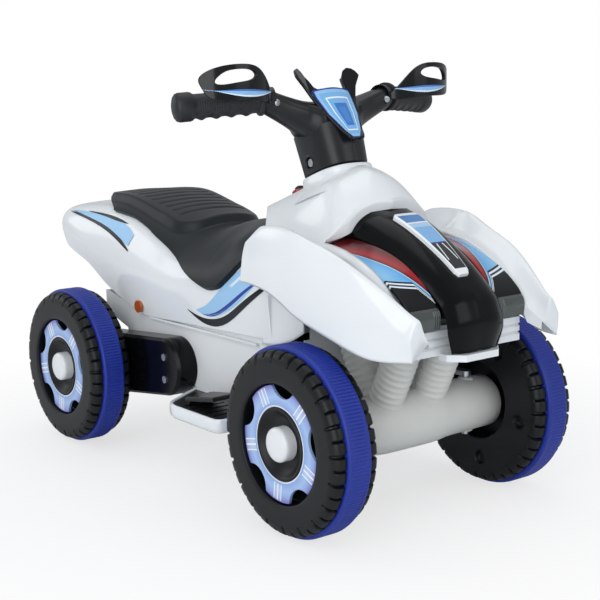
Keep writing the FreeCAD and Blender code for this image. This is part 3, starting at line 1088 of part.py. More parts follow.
shield.Placement = Placement(Vector(size("visor_foot_x"), 0, size("visor_foot_z")), face_turn)
solid_part("visor", shield.cut(bar_full).cut(sleeve))

# Every object has to be sound before anything is written.
doc.recompute()
for thing in doc.Objects:
    if "Invalid" in thing.State or "Error" in thing.State:
        raise RuntimeError(f"{thing.Label} failed: {thing.State}")
os.makedirs("parts", exist_ok=True)
for piece in sub_parts:
    shape = Part.getShape(piece)
    if shape.isNull() or not shape.isValid():
        raise RuntimeError(f"{piece.Label} has no sound shape")
    shape.exportStep(f"parts/{piece.Label}.step")
    print(piece.Label, len(shape.Solids), round(shape.Volume / 1000, 1), "cm3")
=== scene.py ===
import math

import bpy
import numpy as np
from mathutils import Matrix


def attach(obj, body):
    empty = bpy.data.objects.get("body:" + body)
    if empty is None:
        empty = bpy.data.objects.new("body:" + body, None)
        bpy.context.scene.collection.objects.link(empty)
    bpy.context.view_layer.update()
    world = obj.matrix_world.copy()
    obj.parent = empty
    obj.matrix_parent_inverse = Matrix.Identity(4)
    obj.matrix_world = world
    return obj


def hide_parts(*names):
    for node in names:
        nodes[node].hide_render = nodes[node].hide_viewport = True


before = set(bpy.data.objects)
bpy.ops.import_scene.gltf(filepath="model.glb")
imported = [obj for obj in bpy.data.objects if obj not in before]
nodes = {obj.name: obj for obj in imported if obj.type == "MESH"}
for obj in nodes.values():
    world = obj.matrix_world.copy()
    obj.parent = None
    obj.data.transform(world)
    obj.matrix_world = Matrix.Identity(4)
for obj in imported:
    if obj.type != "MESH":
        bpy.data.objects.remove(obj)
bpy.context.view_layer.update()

# Studio: a pale floor that fades into a white surround, and five large soft lamps as in a product photograph.
# The camera stands where the photograph was taken from: right of the nose, at the height of the grips.


def paint(code):
    """Linear RGBA of an sRGB hex colour."""
    parts = [int(code[i:i + 2], 16) / 255 for i in (1, 3, 5)]
    return tuple(c / 12.92 if c <= 0.04045 else ((c + 0.055) / 1.055) ** 2.4 for c in parts) + (1.0,)


def add(tree, kind, links=(), values=(), stops=(), hard=False, **settings):
    """One node, with its settings, plain socket values, links from other sockets and colour stops.

    Hard stops give plain fields of colour, the others blend into each other."""
    node = tree.nodes.new(kind)
    for name, value in settings.items():
        setattr(node, name, value)
    for socket, value in dict(values).items():
        node.inputs[socket].default_value = value
    for socket, source in dict(links).items():
        tree.links.new(source, node.inputs[socket])
    for k, (spot, colour) in enumerate(stops):
        row = node.color_ramp.elements
        stop = row[0] if k == 0 else row.new(spot) if k < len(stops) - 1 else row[len(row) - 1]
        stop.position, stop.color = spot, colour
    if hard:
        node.color_ramp.interpolation = "CONSTANT"
    return node


scene = bpy.context.scene
scene.view_settings.view_transform = "Standard"
world = bpy.data.worlds.new("studio")
scene.world = world
world.use_nodes = True
sky = world.node_tree
sky.nodes.clear()
rays = add(sky, "ShaderNodeLightPath")
seen = add(sky, "ShaderNodeMath", {0: rays.outputs["Is Camera Ray"], 1: rays.outputs["Is Transmission Ray"]},
           operation="MAXIMUM")
soft = add(sky, "ShaderNodeBackground", values={"Color": paint("#eef2f6"), "Strength": 0.58})
white = add(sky, "ShaderNodeBackground", values={"Color": (1, 1, 1, 1), "Strength": 1.0})
both = add(sky, "ShaderNodeMixShader", {0: seen.outputs[0], 1: soft.outputs[0], 2: white.outputs[0]})
add(sky, "ShaderNodeOutputWorld", {"Surface": both.outputs[0]})

LAMPS = {"key": ((1.1, -2.2, 2.3), (0.0, 0.0, 0.25), 1.7, 18),
         "fill": ((2.5, 0.9, 1.2), (0.1, 0.0, 0.3), 1.4, 9),
         "top": ((-0.4, 0.3, 2.6), (0.0, 0.0, 0.2), 1.8, 10),
         "rear": ((-2.2, -1.3, 1.2), (-0.1, 0.0, 0.3), 1.2, 6),
         "low": ((1.5, -2.0, 0.55), (0.0, 0.0, 0.15), 1.6, 20)}
for name, (spot, aim, width, power) in LAMPS.items():
    lamp = bpy.data.lights.new(name, "AREA")
    lamp.energy = power
    lamp.size = width
    holder = bpy.data.objects.new(name, lamp)
    scene.collection.objects.link(holder)
    away = np.array(spot) - np.array(aim)
    level = math.atan2(away[2], math.hypot(away[0], away[1]))
    holder.location = spot
    holder.rotation_euler = (math.pi / 2 - level, 0, math.atan2(away[1], away[0]) + math.pi / 2)

YAW, PITCH, ROLL = math.radians(142.63), math.radians(-9.88), math.radians(-1.09)
FOCAL, PICTURE, EYE = 1258.65, 600.0, (1.4220, -1.0234, 0.5300)
ahead = np.array([math.cos(PITCH) * math.cos(YAW), math.cos(PITCH) * math.sin(YAW), math.sin(PITCH)])
across = np.cross(ahead, [0, 0, 1])
across /= np.linalg.norm(across)
upward = np.cross(across, ahead)
eye = bpy.data.cameras.new("eye")
eye.sensor_width = 36.0
eye.lens = FOCAL / PICTURE * eye.sensor_width
camera = bpy.data.objects.new("eye", eye)
scene.collection.objects.link(camera)
turn = np.eye(4)
turn[:3, 0] = math.cos(ROLL) * across + math.sin(ROLL) * upward
turn[:3, 1] = -math.sin(ROLL) * across + math.cos(ROLL) * upward
turn[:3, 2], turn[:3, 3] = -ahead, EYE
camera.matrix_world = turn.T.tolist()
scene.camera = camera

paper = bpy.data.materials.new("floor_paper")
paper.use_nodes = True
tree = paper.node_tree
tree.nodes.clear()
place = add(tree, "ShaderNodeTexCoord").outputs["Object"]
away = add(tree, "ShaderNodeVectorMath", {0: place}, operation="LENGTH")
fade = add(tree, "ShaderNodeMapRange", {"Value": away.outputs["Value"]},
           {"From Min": 0.25, "From Max": 0.85, "To Min": 0.66})
rays = add(tree, "ShaderNodeLightPath")
far = add(tree, "ShaderNodeMath", {0: rays.outputs["Is Camera Ray"], 1: fade.outputs[0]},
          operation="MULTIPLY")
matt = add(tree, "ShaderNodeBsdfPrincipled", values={"Base Color": paint("#f1f3f5"), "Roughness": 0.9})
glow = add(tree, "ShaderNodeEmission", values={"Color": (1, 1, 1, 1), "Strength": 1.0})
pick = add(tree, "ShaderNodeMixShader", {0: far.outputs[0], 1: matt.outputs[0], 2: glow.outputs[0]})
add(tree, "ShaderNodeOutputMaterial", {"Surface": pick.outputs[0]})
sheet = bpy.data.meshes.new("floor")
sheet.from_pydata([(-9, -9, -0.0005), (9, -9, -0.0005), (9, 9, -0.0005), (-9, 9, -0.0005)], [],
                  [(0, 1, 2, 3)])
floor = bpy.data.objects.new("floor", sheet)
floor.data.materials.append(paper)
scene.collection.objects.link(floor)


# Lower chassis: an injection-moulded white tub with the front deck, satin below the glossy body. The motor,
# battery and gears sit in it, and glossy black gear pods are screwed on beside the rear wheels.
def plastic(name, colour, rough, grain=1.2, bump=0.05, coat=0.0, shade=0.12, shine=0.5):
    """Moulded plastic: a base colour that clouds a little, and a fine grain in the gloss and the surface.

    grain is the width of the mould's texture in millimetres, drawn coarse enough to show. shine is the
    strength of the mirror image, half for most plastics and less for black ones that stay deep."""
    material = bpy.data.materials.new(name)
    material.use_nodes = True
    tree = material.node_tree
    shader = tree.nodes["Principled BSDF"]
    place = add(tree, "ShaderNodeTexCoord").outputs["Object"]
    cloud = add(tree, "ShaderNodeTexNoise", {"Vector": place}, {"Scale": 1000 / 90, "Detail": 3.0})
    base = np.array(paint(colour)[:3])
    pale = tuple(np.minimum(base * (1 + 0.5 * shade), 1)) + (1.0,)
    tint = add(tree, "ShaderNodeValToRGB", {0: cloud.outputs["Fac"]},
               stops=[(0.25, tuple(base * (1 - shade)) + (1.0,)), (0.75, pale)])
    tree.links.new(tint.outputs[0], shader.inputs["Base Color"])
    fine = add(tree, "ShaderNodeTexNoise", {"Vector": place}, {"Scale": 1000 / grain, "Detail": 2.0})
    gloss = add(tree, "ShaderNodeMapRange", {"Value": cloud.outputs["Fac"]},
                {"To Min": rough * 0.85, "To Max": rough * 1.15})
    tree.links.new(gloss.outputs[0], shader.inputs["Roughness"])
    relief = add(tree, "ShaderNodeBump", {"Height": fine.outputs["Fac"]},
                 {"Strength": bump, "Distance": 0.0005})
    tree.links.new(relief.outputs[0], shader.inputs["Normal"])
    shader.inputs["Specular IOR Level"].default_value = shine
    shader.inputs["Coat Weight"].default_value = coat
    shader.inputs["Coat Roughness"].default_value = 0.06
    return material


def dress(material, *names):
    """CAD nodes that keep their own shape get a material."""
    for name in names:
        for slot in nodes[name].material_slots:
            slot.material = material


white_satin = plastic("satin_white_chassis", "#dfe2e4", 0.42, 1.4, 0.08, shade=0.03)
black_gloss = plastic("gloss_black_moulding", "#050608", 0.20, 9.0, 0.03, coat=0.04, shade=0.25, shine=0.15)
gear_nylon = plastic("natural_nylon_gear", "#d9d2bd", 0.45, 1.0, 0.06)
battery_case = plastic("black_battery_case", "#1c1d20", 0.5, 1.2, 0.10)
# Zinc-plated steel: bright, cool, with fine brushed streaks that blur its highlights.
steel = bpy.data.materials.new("zinc_plated_steel")
steel.use_nodes = True
tree = steel.node_tree
shader = tree.nodes["Principled BSDF"]
streak = add(tree, "ShaderNodeTexNoise", {"Vector": add(tree, "ShaderNodeTexCoord").outputs["Object"]},
             {"Scale": 1000 / 3.0, "Detail": 4.0})
gloss = add(tree, "ShaderNodeMapRange", {"Value": streak.outputs["Fac"]}, {"To Min": 0.22, "To Max": 0.42})
tree.links.new(gloss.outputs[0], shader.inputs["Roughness"])
shader.inputs["Base Color"].default_value = paint("#b9bdc2")
shader.inputs["Metallic"].default_value = 1.0
dress(white_satin, "lower_chassis")
dress(black_gloss, "gearbox_case_right", "gearbox_cover_right", "gearbox_case_left")
dress(gear_nylon, "motor_pinion", "reduction_gear", "output_gear")
dress(battery_case, "battery")
dress(steel, "motor", "rear_axle", "body_screws", "handlebar_screws", "steering_shaft", "stub_axle_right",
      "stub_axle_left", "tie_rod")


# Front axle beam: a thick tube of natural, slightly see-through polypropylene across the bike, with four
# ribbed dummy spring legs up to the deck. Pale grey and waxy, it carries the king pins of the stub axles.
def quads(rows, cols, wrap_rows=False, wrap_cols=False):
    """Corner numbers of the quads of a grid, joined round where it wraps."""
    i = np.arange(rows if wrap_rows else rows - 1)[:, None]
    j = np.arange(cols if wrap_cols else cols - 1)[None, :]
    n, m = (i + 1) % rows, (j + 1) % cols
    return np.stack([i * cols + j, i * cols + m, n * cols + m, n * cols + j], -1).reshape(-1, 4)


MM = 0.001
OPEN, TUBE, RING = (False, False), (False, True), (True, True)


def piece(name, grid, joins, material, body, stands_for=(), uv=None, sharp=40, inside=None, wall=0.0):
    """A mesh object in the row frame from a grid of points in millimetres, with a wall if it is a skin.

    joins says whether the rows and the columns close round, or gives the corner numbers of the faces. Faces
    are turned so that on the whole they look away from the point inside; edges sharper than the given angle
    stay crisp. Points that no face uses are left out."""
    grid = np.asarray(grid, float)
    faces = quads(*grid.shape[:2], *joins) if isinstance(joins, tuple) else joins
    points = grid.reshape(-1, 3)
    used, faces = np.unique(faces, return_inverse=True)
    faces = faces.reshape(-1, 4)
    points = points[used]
    a, b, c, d = (points[faces[:, k]] for k in range(4))
    centre = points.mean(0) if inside is None else np.asarray(inside, float)
    if np.einsum("ij,ij->", np.cross(c - a, d - b), points[faces].mean(1) - centre) < 0:
        faces = faces[:, ::-1]
    mesh = bpy.data.meshes.new(name)
    mesh.from_pydata((points * MM).tolist(), [], faces.tolist())
    if uv is not None:
        layer = mesh.uv_layers.new(name="print")
        corners = np.empty(len(mesh.loops), dtype=np.int32)
        mesh.loops.foreach_get("vertex_index", corners)
        layer.data.foreach_set("uv", np.asarray(uv, float).reshape(-1, 2)[used][corners].ravel())
    mesh.materials.append(material)
    mesh.validate()
    mesh.polygons.foreach_set("use_smooth", np.ones(len(mesh.polygons), dtype=bool))
    mesh.set_sharp_from_angle(angle=math.radians(sharp))
    thing = bpy.data.objects.new(name, mesh)
    scene.collection.objects.link(thing)
    if wall:
        thick = thing.modifiers.new("wall", "SOLIDIFY")
        thick.thickness = wall * MM
        thick.offset = -1.0
    if stands_for:
        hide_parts(*([stands_for] if isinstance(stands_for, str) else stands_for))
    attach(thing, body)
    return thing


def lathe(along, radius, start, axis, aside, count):
    """A turned surface: rows at distances along an axis from its start, each a ring of that radius.

    radius is one number for each row, or a grid of rows and turns. aside is where the turn begins."""
    axis = np.asarray(axis, float) / np.linalg.norm(axis)
    aside = np.asarray(aside, float) - axis * np.dot(aside, axis)
    aside /= np.linalg.norm(aside)
    turn = np.linspace(0, 2 * np.pi, count, endpoint=False)[:, None]
    ring = np.cos(turn) * aside + np.sin(turn) * np.cross(axis, aside)
    radius = np.asarray(radius, float).reshape(len(along), -1, 1)
    return np.asarray(start, float) + np.asarray(along, float)[:, None, None] * axis + radius * ring


def smooth_step(low, high, x):
    """0 before low, 1 past high, with a smooth ramp between; low may be the larger."""
    t = np.clip((np.asarray(x, float) - low) / (high - low), 0, 1)
    return t * t * (3 - 2 * t)


SIDES = (("right", -1), ("left", 1))
FRONT_X, BEAM_Z, BEAM_HALF, KING_Y, RAKE = 286.0, 112.0, 147.0, 112.0, math.radians(19)
LEG_Y, LEG_FOOT, LEG_LEAN, LEG_LENGTH, LEG_PITCH, LEG_RIB = 36.0, 120.0, math.radians(26), 124.0, 8.6, 1.8
STEER = np.array([168.0, 0.0, 404.0])
UP = np.array([-math.sin(RAKE), 0, math.cos(RAKE)])
grey_natural = plastic("natural_polypropylene", "#d6d7d3", 0.36, 5.0, 0.06, shade=0.05)
shader = grey_natural.node_tree.nodes["Principled BSDF"]
shader.inputs["Subsurface Weight"].default_value = 0.15
shader.inputs["Subsurface Radius"].default_value = (0.006, 0.006, 0.005)
half = [(55, 0.5), (55, 27), (1, 27), (0, 28), (0.5, 30.5), (2, 32.6), (4.5, 34), (30, 34.4), (74, 35),
        (86, 35.6), (98, 37.2), (110, 38), (128, 38.2), (147, 38.2)]
barrel = np.array(half + [(2 * BEAM_HALF - a, r) for a, r in reversed(half[:-1])])
points = lathe(*barrel.T, (FRONT_X, -BEAM_HALF, BEAM_Z), (0, 1, 0), (0, 0, 1), 96)
piece("axle_beam_tube", points, TUBE, grey_natural, "chassis", "front_axle_beam", sharp=50)
leg_s = np.linspace(0, LEG_LENGTH, 150)
turns = np.linspace(0, 1, 72, endpoint=False)
for name, side in SIDES:
    for end, forward in (("front", 1), ("rear", -1)):
        wave = 0.5 + 0.5 * np.cos(2 * np.pi * (leg_s[:, None] / LEG_PITCH - turns * side))
        radius = 20.6 + LEG_RIB * wave ** 1.6 - 1.6 * smooth_step(8, 0, leg_s)[:, None]
        points = lathe(leg_s, radius, (FRONT_X, side * LEG_Y, LEG_FOOT),
                       (forward * math.sin(LEG_LEAN), 0, math.cos(LEG_LEAN)), (0, 1, 0), 72)
        piece(f"spring_leg_{end}_{name}", points, TUBE, grey_natural, "chassis")
    boss = np.array([(0, 1), (0, 8.6), (1.4, 10), (70.6, 10), (72, 8.6), (72, 1)])
    points = lathe(*boss.T, (FRONT_X, side * KING_Y, 76), (0, 0, 1), (1, 0, 0), 40)
    piece("king_pin_boss_" + name, points, TUBE, grey_natural, "chassis")
boss = np.array([(-298, 1), (-298, 9), (-257, 9), (-256, 8), (-256, 6.1)])
points = lathe(*boss.T, STEER, UP, (0, 1, 0), 40)
piece("steering_boss", points, TUBE, grey_natural, "chassis")


# Rear shell: the white blow-moulded body from the tail to the bulkhead, glossy polypropylene with the faint
# waviness of a moulding. Its sections are smooth curves through a few points, carried along the bike.
# Sections: x, height of the top, then y and z of the shoulder, of the belt and of the lower edge.
BODY = np.array([
    (-434, 326, 58, 320, 70, 308, 60, 296), (-426, 336, 76, 329, 90, 310, 84, 284),
    (-405, 344, 86, 336, 102, 312, 95, 276), (-335, 346, 90, 340, 109, 298, 100, 257),
    (-262, 350, 92, 338, 110, 282, 101, 224), (-150, 336, 92, 312, 109, 264, 102, 196),
    (-60, 321, 90, 288, 106, 252, 102, 199), (10, 336, 92, 290, 106, 252, 102, 201.33),
    (80, 343, 92, 314, 107, 262, 102, 203.67), (150, 334, 90, 308, 105, 262, 101, 206)], float)
white_body = plastic("gloss_white_body", "#e4e8eb", 0.16, 16.0, 0.05, coat=0.35, shade=0.02)


def steady(xs, table, x):
    """Columns of a table at places x, by cubic pieces that never swing past the given values."""
    shape = np.shape(x)
    x = np.ravel(x).astype(float)
    rise = np.diff(table, axis=0) / np.diff(xs)[:, None]
    product = rise[:-1] * rise[1:]
    total = np.where(np.abs(rise[:-1] + rise[1:]) < 1e-9, 1.0, rise[:-1] + rise[1:])
    slope = np.concatenate([rise[:1], np.where(product > 0, 2 * product / total, 0.0), rise[-1:]])
    i = np.clip(np.searchsorted(xs, x, side="right") - 1, 0, len(xs) - 2)
    step = (xs[i + 1] - xs[i])[:, None]
    t = (x - xs[i])[:, None] / step
    rows = (table[i] * (1 + 2 * t) * (1 - t) ** 2 + table[i + 1] * t * t * (3 - 2 * t)
            + step * (slope[i] * t * (1 - t) ** 2 - slope[i + 1] * t * t * (1 - t)))
    return rows.reshape(shape + (-1,))


def spline(points, u):
    """Points of natural cubic curves at the shares u of their length: each curve goes through its few points.

    The knots are spaced by the square root of the mean distance between the points, so all curves match."""
    gap = np.sqrt(np.linalg.norm(np.diff(points, axis=-2), axis=-1).reshape(-1, points.shape[-2] - 1).mean(0))
    knots = np.concatenate([[0], np.cumsum(gap)])
    n = len(knots)
    left, known = np.eye(n), np.zeros((n, n))
    for k in range(1, n - 1):
        left[k, k - 1:k + 2] = gap[k - 1], 2 * (gap[k - 1] + gap[k]), gap[k]
        known[k, k - 1:k + 2] = 6 / gap[k - 1], -6 / gap[k - 1] - 6 / gap[k], 6 / gap[k]
    bend = np.linalg.solve(left, known)
    spot = np.asarray(u, float) * knots[-1]
    i = np.clip(np.searchsorted(knots, spot, side="right") - 1, 0, n - 2)
    h = gap[i][..., None]
    after, before = (spot - knots[i])[..., None] / h, (knots[i + 1] - spot)[..., None] / h
    unit = np.eye(n)
    weights = (before * unit[i] + after * unit[i + 1]
               + ((before ** 3 - before) * bend[i] + (after ** 3 - after) * bend[i + 1]) * h * h / 6)
    return np.einsum("...n,...nc->...c", weights, points)


def mirrored(half):
    """Right half sections, from the lower edge to the middle, made whole: (..., points, yz)."""
    half = np.stack([np.stack(np.broadcast_arrays(*pair), -1) for pair in half], -2)
    return np.concatenate([half, half[..., -2::-1, :] * np.array([-1, 1])], -2)


def body_at(x, u, out=0.0):
    """Points of the shell at places x and shares u of the section, or of a skin a distance outside it."""
    x, u = np.broadcast_arrays(np.asarray(x, float), np.asarray(u, float))
    top, sy, sz, cy, cz, ey, ez = np.moveaxis(steady(BODY[:, 0], BODY[:, 1:], x), -1, 0)
    yz = spline(mirrored([(-ey - out, ez), (-cy - out, (2 * cz + ez) / 3), (-cy - out, cz + 6 + out),
                          (-sy - 0.6 * out, sz + 0.7 * out), (-0.55 * sy, top - 0.22 * (top - sz) + out),
                          (0 * top, top + out)]), u)
    return np.concatenate([x[..., None], yz], -1)


TAIL_X, TAIL_BEND_X, BULKHEAD_X = -434.0, -400.0, 154.0
tail_x = np.linspace(TAIL_X, TAIL_BEND_X, 24)[:-1]
body_x = np.concatenate([tail_x, np.linspace(TAIL_BEND_X, BULKHEAD_X, 111)])
shell = body_at(body_x[:, None], np.linspace(0, 1, 91))
ends = []
for ring, bulge in ((shell[0], -7.0), (shell[-1], 0.0)):
    share = np.array([0.05, 0.16, 0.4, 0.7, 0.99])[:, None, None]
    out = bulge * np.array([0.23, 0.49, 0.8, 0.97, 1.0])[:, None, None]
    ends.append(ring + (ring.mean(0) - ring) * share + out * np.array([1, 0, 0]))
shell = np.concatenate([ends[0][::-1], shell, ends[1]])
across = np.linspace(0, 1, 7)[1:-1, None]
belly = shell[:, -1:] * (1 - across) + shell[:, :1] * across + np.array([0, 0, 1.5])
shell = np.concatenate([shell, belly], 1)
piece("rear_shell_moulding", shell, TUBE, white_body, "chassis", "rear_shell",
      inside=(-150, 0, 270), sharp=45)

# Side stripes: cut vinyl film laid on the shell's flanks and tail, light blue with charcoal and deep blue
# edges. A pale strip laid on each flank the same way is a painted highlight, not film. The film follows the
# shell half a millimetre outside it and has its own thin gloss.
FILM = 0.5
# pale colours only the painted highlight strip on the flanks, though it is made as one of the film materials.
FILM_COLOURS = {"sky": "#9cc8ec", "navy": "#2c3f9a", "charcoal": "#171b20", "pale": "#dbeaf6"}
films = {name: plastic("vinyl_film_" + name, code, 0.26, 6.0, 0.02, coat=0.05, shade=0.03, shine=0.2)
         for name, code in FILM_COLOURS.items()}
# Each stripe: colour, then points of its middle line as x, z and half width, from the rear forward.
STRIPES = {
    "flank_field": ("sky", [(-14, 223, 1), (18, 227, 9), (50, 242, 15), (82, 262, 18), (112, 284, 17),
                            (134, 300, 14)]),
    "flank_low": ("charcoal", [(-38, 221, 0.4), (-8, 211.5, 3.2), (26, 210.5, 5.2), (60, 221, 5),
                               (98, 243, 4.4), (146, 273, 3)]),
    "flank_edge": ("navy", [(-4, 220, 0.3), (18, 220, 1.8), (54, 233, 2.6), (94, 256, 2.4), (142, 287, 1.6)]),
    # The pale strip here is a painted highlight: light caught along the glossy flank, drawn as a strip of
    # film.
    "flank_painted_highlight": ("pale", [(18, 236, 0.3), (48, 252, 1.6), (82, 272, 2), (114, 296, 1.4), (132, 309, 0.6)]),
    "tail_field": ("sky", [(-190, 303, 9), (-212, 313, 10), (-252, 324, 7.5), (-310, 331, 4),
                           (-376, 335, 0.4)]),
    "tail_low": ("charcoal", [(-192, 288, 1), (-220, 302, 3.2), (-252, 313.5, 3.2), (-304, 324.5, 2.6),
                              (-388, 333, 0.3)]),
    "tail_edge": ("navy", [(-200, 299, 0.5), (-224, 308.5, 1.4), (-260, 318.5, 1.3), (-330, 329, 0.9),
                           (-380, 334, 0.3)]),
    "tail_dart": ("charcoal", [(-210, 326, 0.3), (-236, 330, 2), (-272, 334, 1.8), (-330, 336.5, 0.3)])}
for name, (colour, line) in STRIPES.items():
    line = np.array(line, float)
    u = np.linspace(0, 1, 60)
    middle = spline(line, u)
    way = np.gradient(middle[:, :2], axis=0)
    way /= np.linalg.norm(way, axis=1)[:, None]
    share = np.linspace(-1, 1, 9)
    x = middle[:, :1] - way[:, 1:] * middle[:, 2:] * share
    z = middle[:, 1:2] + way[:, :1] * middle[:, 2:] * share
    fine = body_at(x[..., None], np.linspace(0, 0.5, 161), FILM)
    k = np.clip((fine[..., 2] < z[..., None]).sum(-1), 1, 160)[..., None]
    low, high = (np.take_along_axis(fine, (k - d)[..., None], -2)[..., 0, :] for d in (1, 0))
    part = np.clip((z - low[..., 2]) / (high[..., 2] - low[..., 2]), 0, 1)
    y = low[..., 1] + part * (high[..., 1] - low[..., 1])
    for hand, side in SIDES:
        points = np.stack([x, -side * y, z], -1)
        piece(f"{name}_{hand}", points, OPEN, films[colour], "chassis", inside=(-100, 0, 260))

# Seat: a moulded charcoal saddle clipped over the shell, with a raised ribbed cushion behind and a smooth
# flap down each side. Polyethylene with a fine leather-like grain, satin.
SEAT_SKIN, SEAT_GAP, SEAT_REAR, VEE_X, VEE_SPREAD = 7.0, 0.6, -336.0, 17.0, 1.26
CUSHION_RISE, CUSHION_ENDS, CUSHION_HALF, CUSHION_CORNER = 12.0, (-332.0, -78.0), 77.0, 46.0
RIB_FIRST, RIB_PITCH, RIB_COUNT, RIB_HALF, RIB_DEPTH, RIB_BEND = -296.0, 19.5, 10, 58.0, 3.6, 6.0
seat_skin = plastic("grained_charcoal_seat", "#171c20", 0.42, 1.8, 0.22, shade=0.08, shine=0.32)
EDGE = np.array([(-360, 350), (-302, 348), (-266, 345), (-213, 339), (-173, 328), (-127, 311), (-73, 289),
                 (-6, 264), (18, 259), (43, 263), (66, 277), (102, 308), (136, 338), (150, 348)], float)
REAR = np.array([(0, 0), (25, 3), (49, 14), (69, 33), (81, 56), (92, 81), (130, 101)], float)

edge_x = np.linspace(EDGE[0, 0], EDGE[-1, 0], 256)
fine = body_at(edge_x[:, None], np.linspace(0, 0.5, 401), SEAT_SKIN)
low = np.minimum(steady(EDGE[:, 0], EDGE[:, 1:], edge_x)[:, 0], fine[:, -1, 2] - 0.5)
edge_u = (fine[..., 2] < low[:, None]).sum(1) / 800
share = np.linspace(0, 1, 181)


def seat_at(x, out):
    """Points of a skin over the shell, each section cut off at the edge line and spread from edge to edge."""
    start = np.interp(x, edge_x, edge_u)
    return body_at(x, start + share * (1 - 2 * start), out)


rear_x = np.full(share.shape, -250.0)
front_x = np.full(share.shape, 60.0)
for _ in range(60):
    round_off = np.interp(np.abs(seat_at(rear_x, SEAT_SKIN)[:, 1]), *REAR.T)
    rear_x += 0.4 * (SEAT_REAR + round_off - rear_x)
    front_x += 0.4 * (VEE_X - 1.5 + VEE_SPREAD * np.abs(seat_at(front_x, SEAT_SKIN)[:, 1]) - front_x)
seat_x = rear_x + np.linspace(0, 1, 300)[:, None] * (front_x - rear_x)
saddle = seat_at(seat_x, SEAT_SKIN)
under = seat_at(seat_x, SEAT_GAP)
mid, reach = np.mean(CUSHION_ENDS), np.ptp(CUSHION_ENDS) / 2 - CUSHION_CORNER
beyond = np.hypot(np.clip(np.abs(saddle[..., 0] - mid) - reach, 0, None),
                  np.clip(np.abs(saddle[..., 1]) - CUSHION_HALF + CUSHION_CORNER, 0, None)) - CUSHION_CORNER
groove = (saddle[..., 0] + RIB_BEND * (saddle[..., 1] / RIB_HALF) ** 2 - RIB_FIRST) / RIB_PITCH
number = np.round(groove)
ends = smooth_step(RIB_HALF, RIB_HALF - 5, np.abs(saddle[..., 1])) * (number >= 0) * (number < RIB_COUNT)
saddle[..., 2] += CUSHION_RISE * smooth_step(1, -9, beyond)
saddle[..., 2] -= RIB_DEPTH * np.exp(-((groove - number) * RIB_PITCH / 2.5) ** 2) * ends
under[..., 0] = saddle[..., 0]


def rolled(skin, base):
    """A skin with its rim rolled over to its base on all four sides."""
    for axis in (0, 1):
        pad = [(1, 1), (0, 0), (0, 0)] if axis == 0 else [(0, 0), (1, 1), (0, 0)]
        for blend in (0.45, 1.0):
            grown = np.pad(skin, pad, "edge")
            foot = np.pad(base, pad, "edge")
            both_ends = slice(0, None, grown.shape[axis] - 1)
            index = (both_ends,) if axis == 0 else (slice(None), both_ends)
            grown[index] = grown[index] * (1 - blend) + foot[index] * blend
            skin, base = grown, foot
    return skin


saddle = rolled(saddle, under)
piece("seat_saddle", saddle, OPEN, seat_skin, "chassis", "seat", inside=(-120, 0, 200),
      sharp=60)

# Front cowl: dome, valleys and both fenders in one glossy white moulding, dropped over the deck from above
# and screwed from below. Its rear edge is a wide V over the seat, and its front is open for the hood.
# Sections: x, height of the top, then y and z of the dome's flank, the valley, the fender's crest and edge.
COWL = np.array([
    (12, 350, 46, 344, 88, 336, 128, 330, 134, 280), (100, 386, 46, 373, 92, 344, 134, 346, 141, 282),
    (165, 413, 54, 386, 96, 341, 143, 353, 147, 286), (215, 426, 58, 393, 98, 338, 149, 361, 151, 281),
    (250, 410, 60, 377, 102, 337, 149, 360, 151, 266), (272, 384, 62, 358, 106, 335, 149, 353, 151, 256),
    (300, 350, 64, 341, 110, 331, 143, 343, 151, 249), (345, 328, 66, 322, 108, 313, 138, 326, 149, 237),
    (395, 300, 80, 270, 104, 281, 125, 296, 134, 222), (434, 236, 80, 232, 99, 253, 113, 267, 115, 225)],
    float)
COWL_WALL, COWL_EVEN, OPEN_Y, OPEN_X, TIP_X = 3.5, 32.0, 92.0, 250.0, 433.0
OPENING = np.array([(0, 272), (60.7, 262), (92, 250)], float)
FENDER_REAR = np.array([(268, 145), (311, 159), (338, 165), (362, 199)], float)


def cowl_at(x, u):
    """Points of the cowl's outside at places x and shares u of the section, evened out along the bike."""
    x, u = np.broadcast_arrays(np.asarray(x, float), np.asarray(u, float))
    spread = np.clip(x[..., None] + COWL_EVEN * np.linspace(-0.5, 0.5, 5), COWL[0, 0], COWL[-1, 0])
    top, fy, fz, vy, vz, cy, cz, ey, ez = np.moveaxis(steady(COWL[:, 0], COWL[:, 1:], spread).mean(-2), -1, 0)
    yz = spline(mirrored([(-ey, ez), (-(ey + cy) / 2 - 4, (ez + cz) / 2), (-cy - 2, cz - 13), (-cy + 7, cz),
                          (-vy, vz), (-fy, fz), (-0.5 * fy, fz + 0.74 * (top - fz)), (0 * top, top)]), u)
    return np.concatenate([x[..., None], yz], -1)


def inner_share(x):
    """Share of the section where the fender meets the side of the hood opening."""
    fine = cowl_at(np.asarray(x, float)[..., None], np.linspace(0, 0.5, 801))[..., 1]
    k = np.clip((fine < -OPEN_Y).sum(-1), 1, 800)[..., None]
    low, high = np.take_along_axis(fine, k - 1, -1)[..., 0], np.take_along_axis(fine, k, -1)[..., 0]
    return (k[..., 0] - 1 + (-OPEN_Y - low) / (high - low)) / 1600


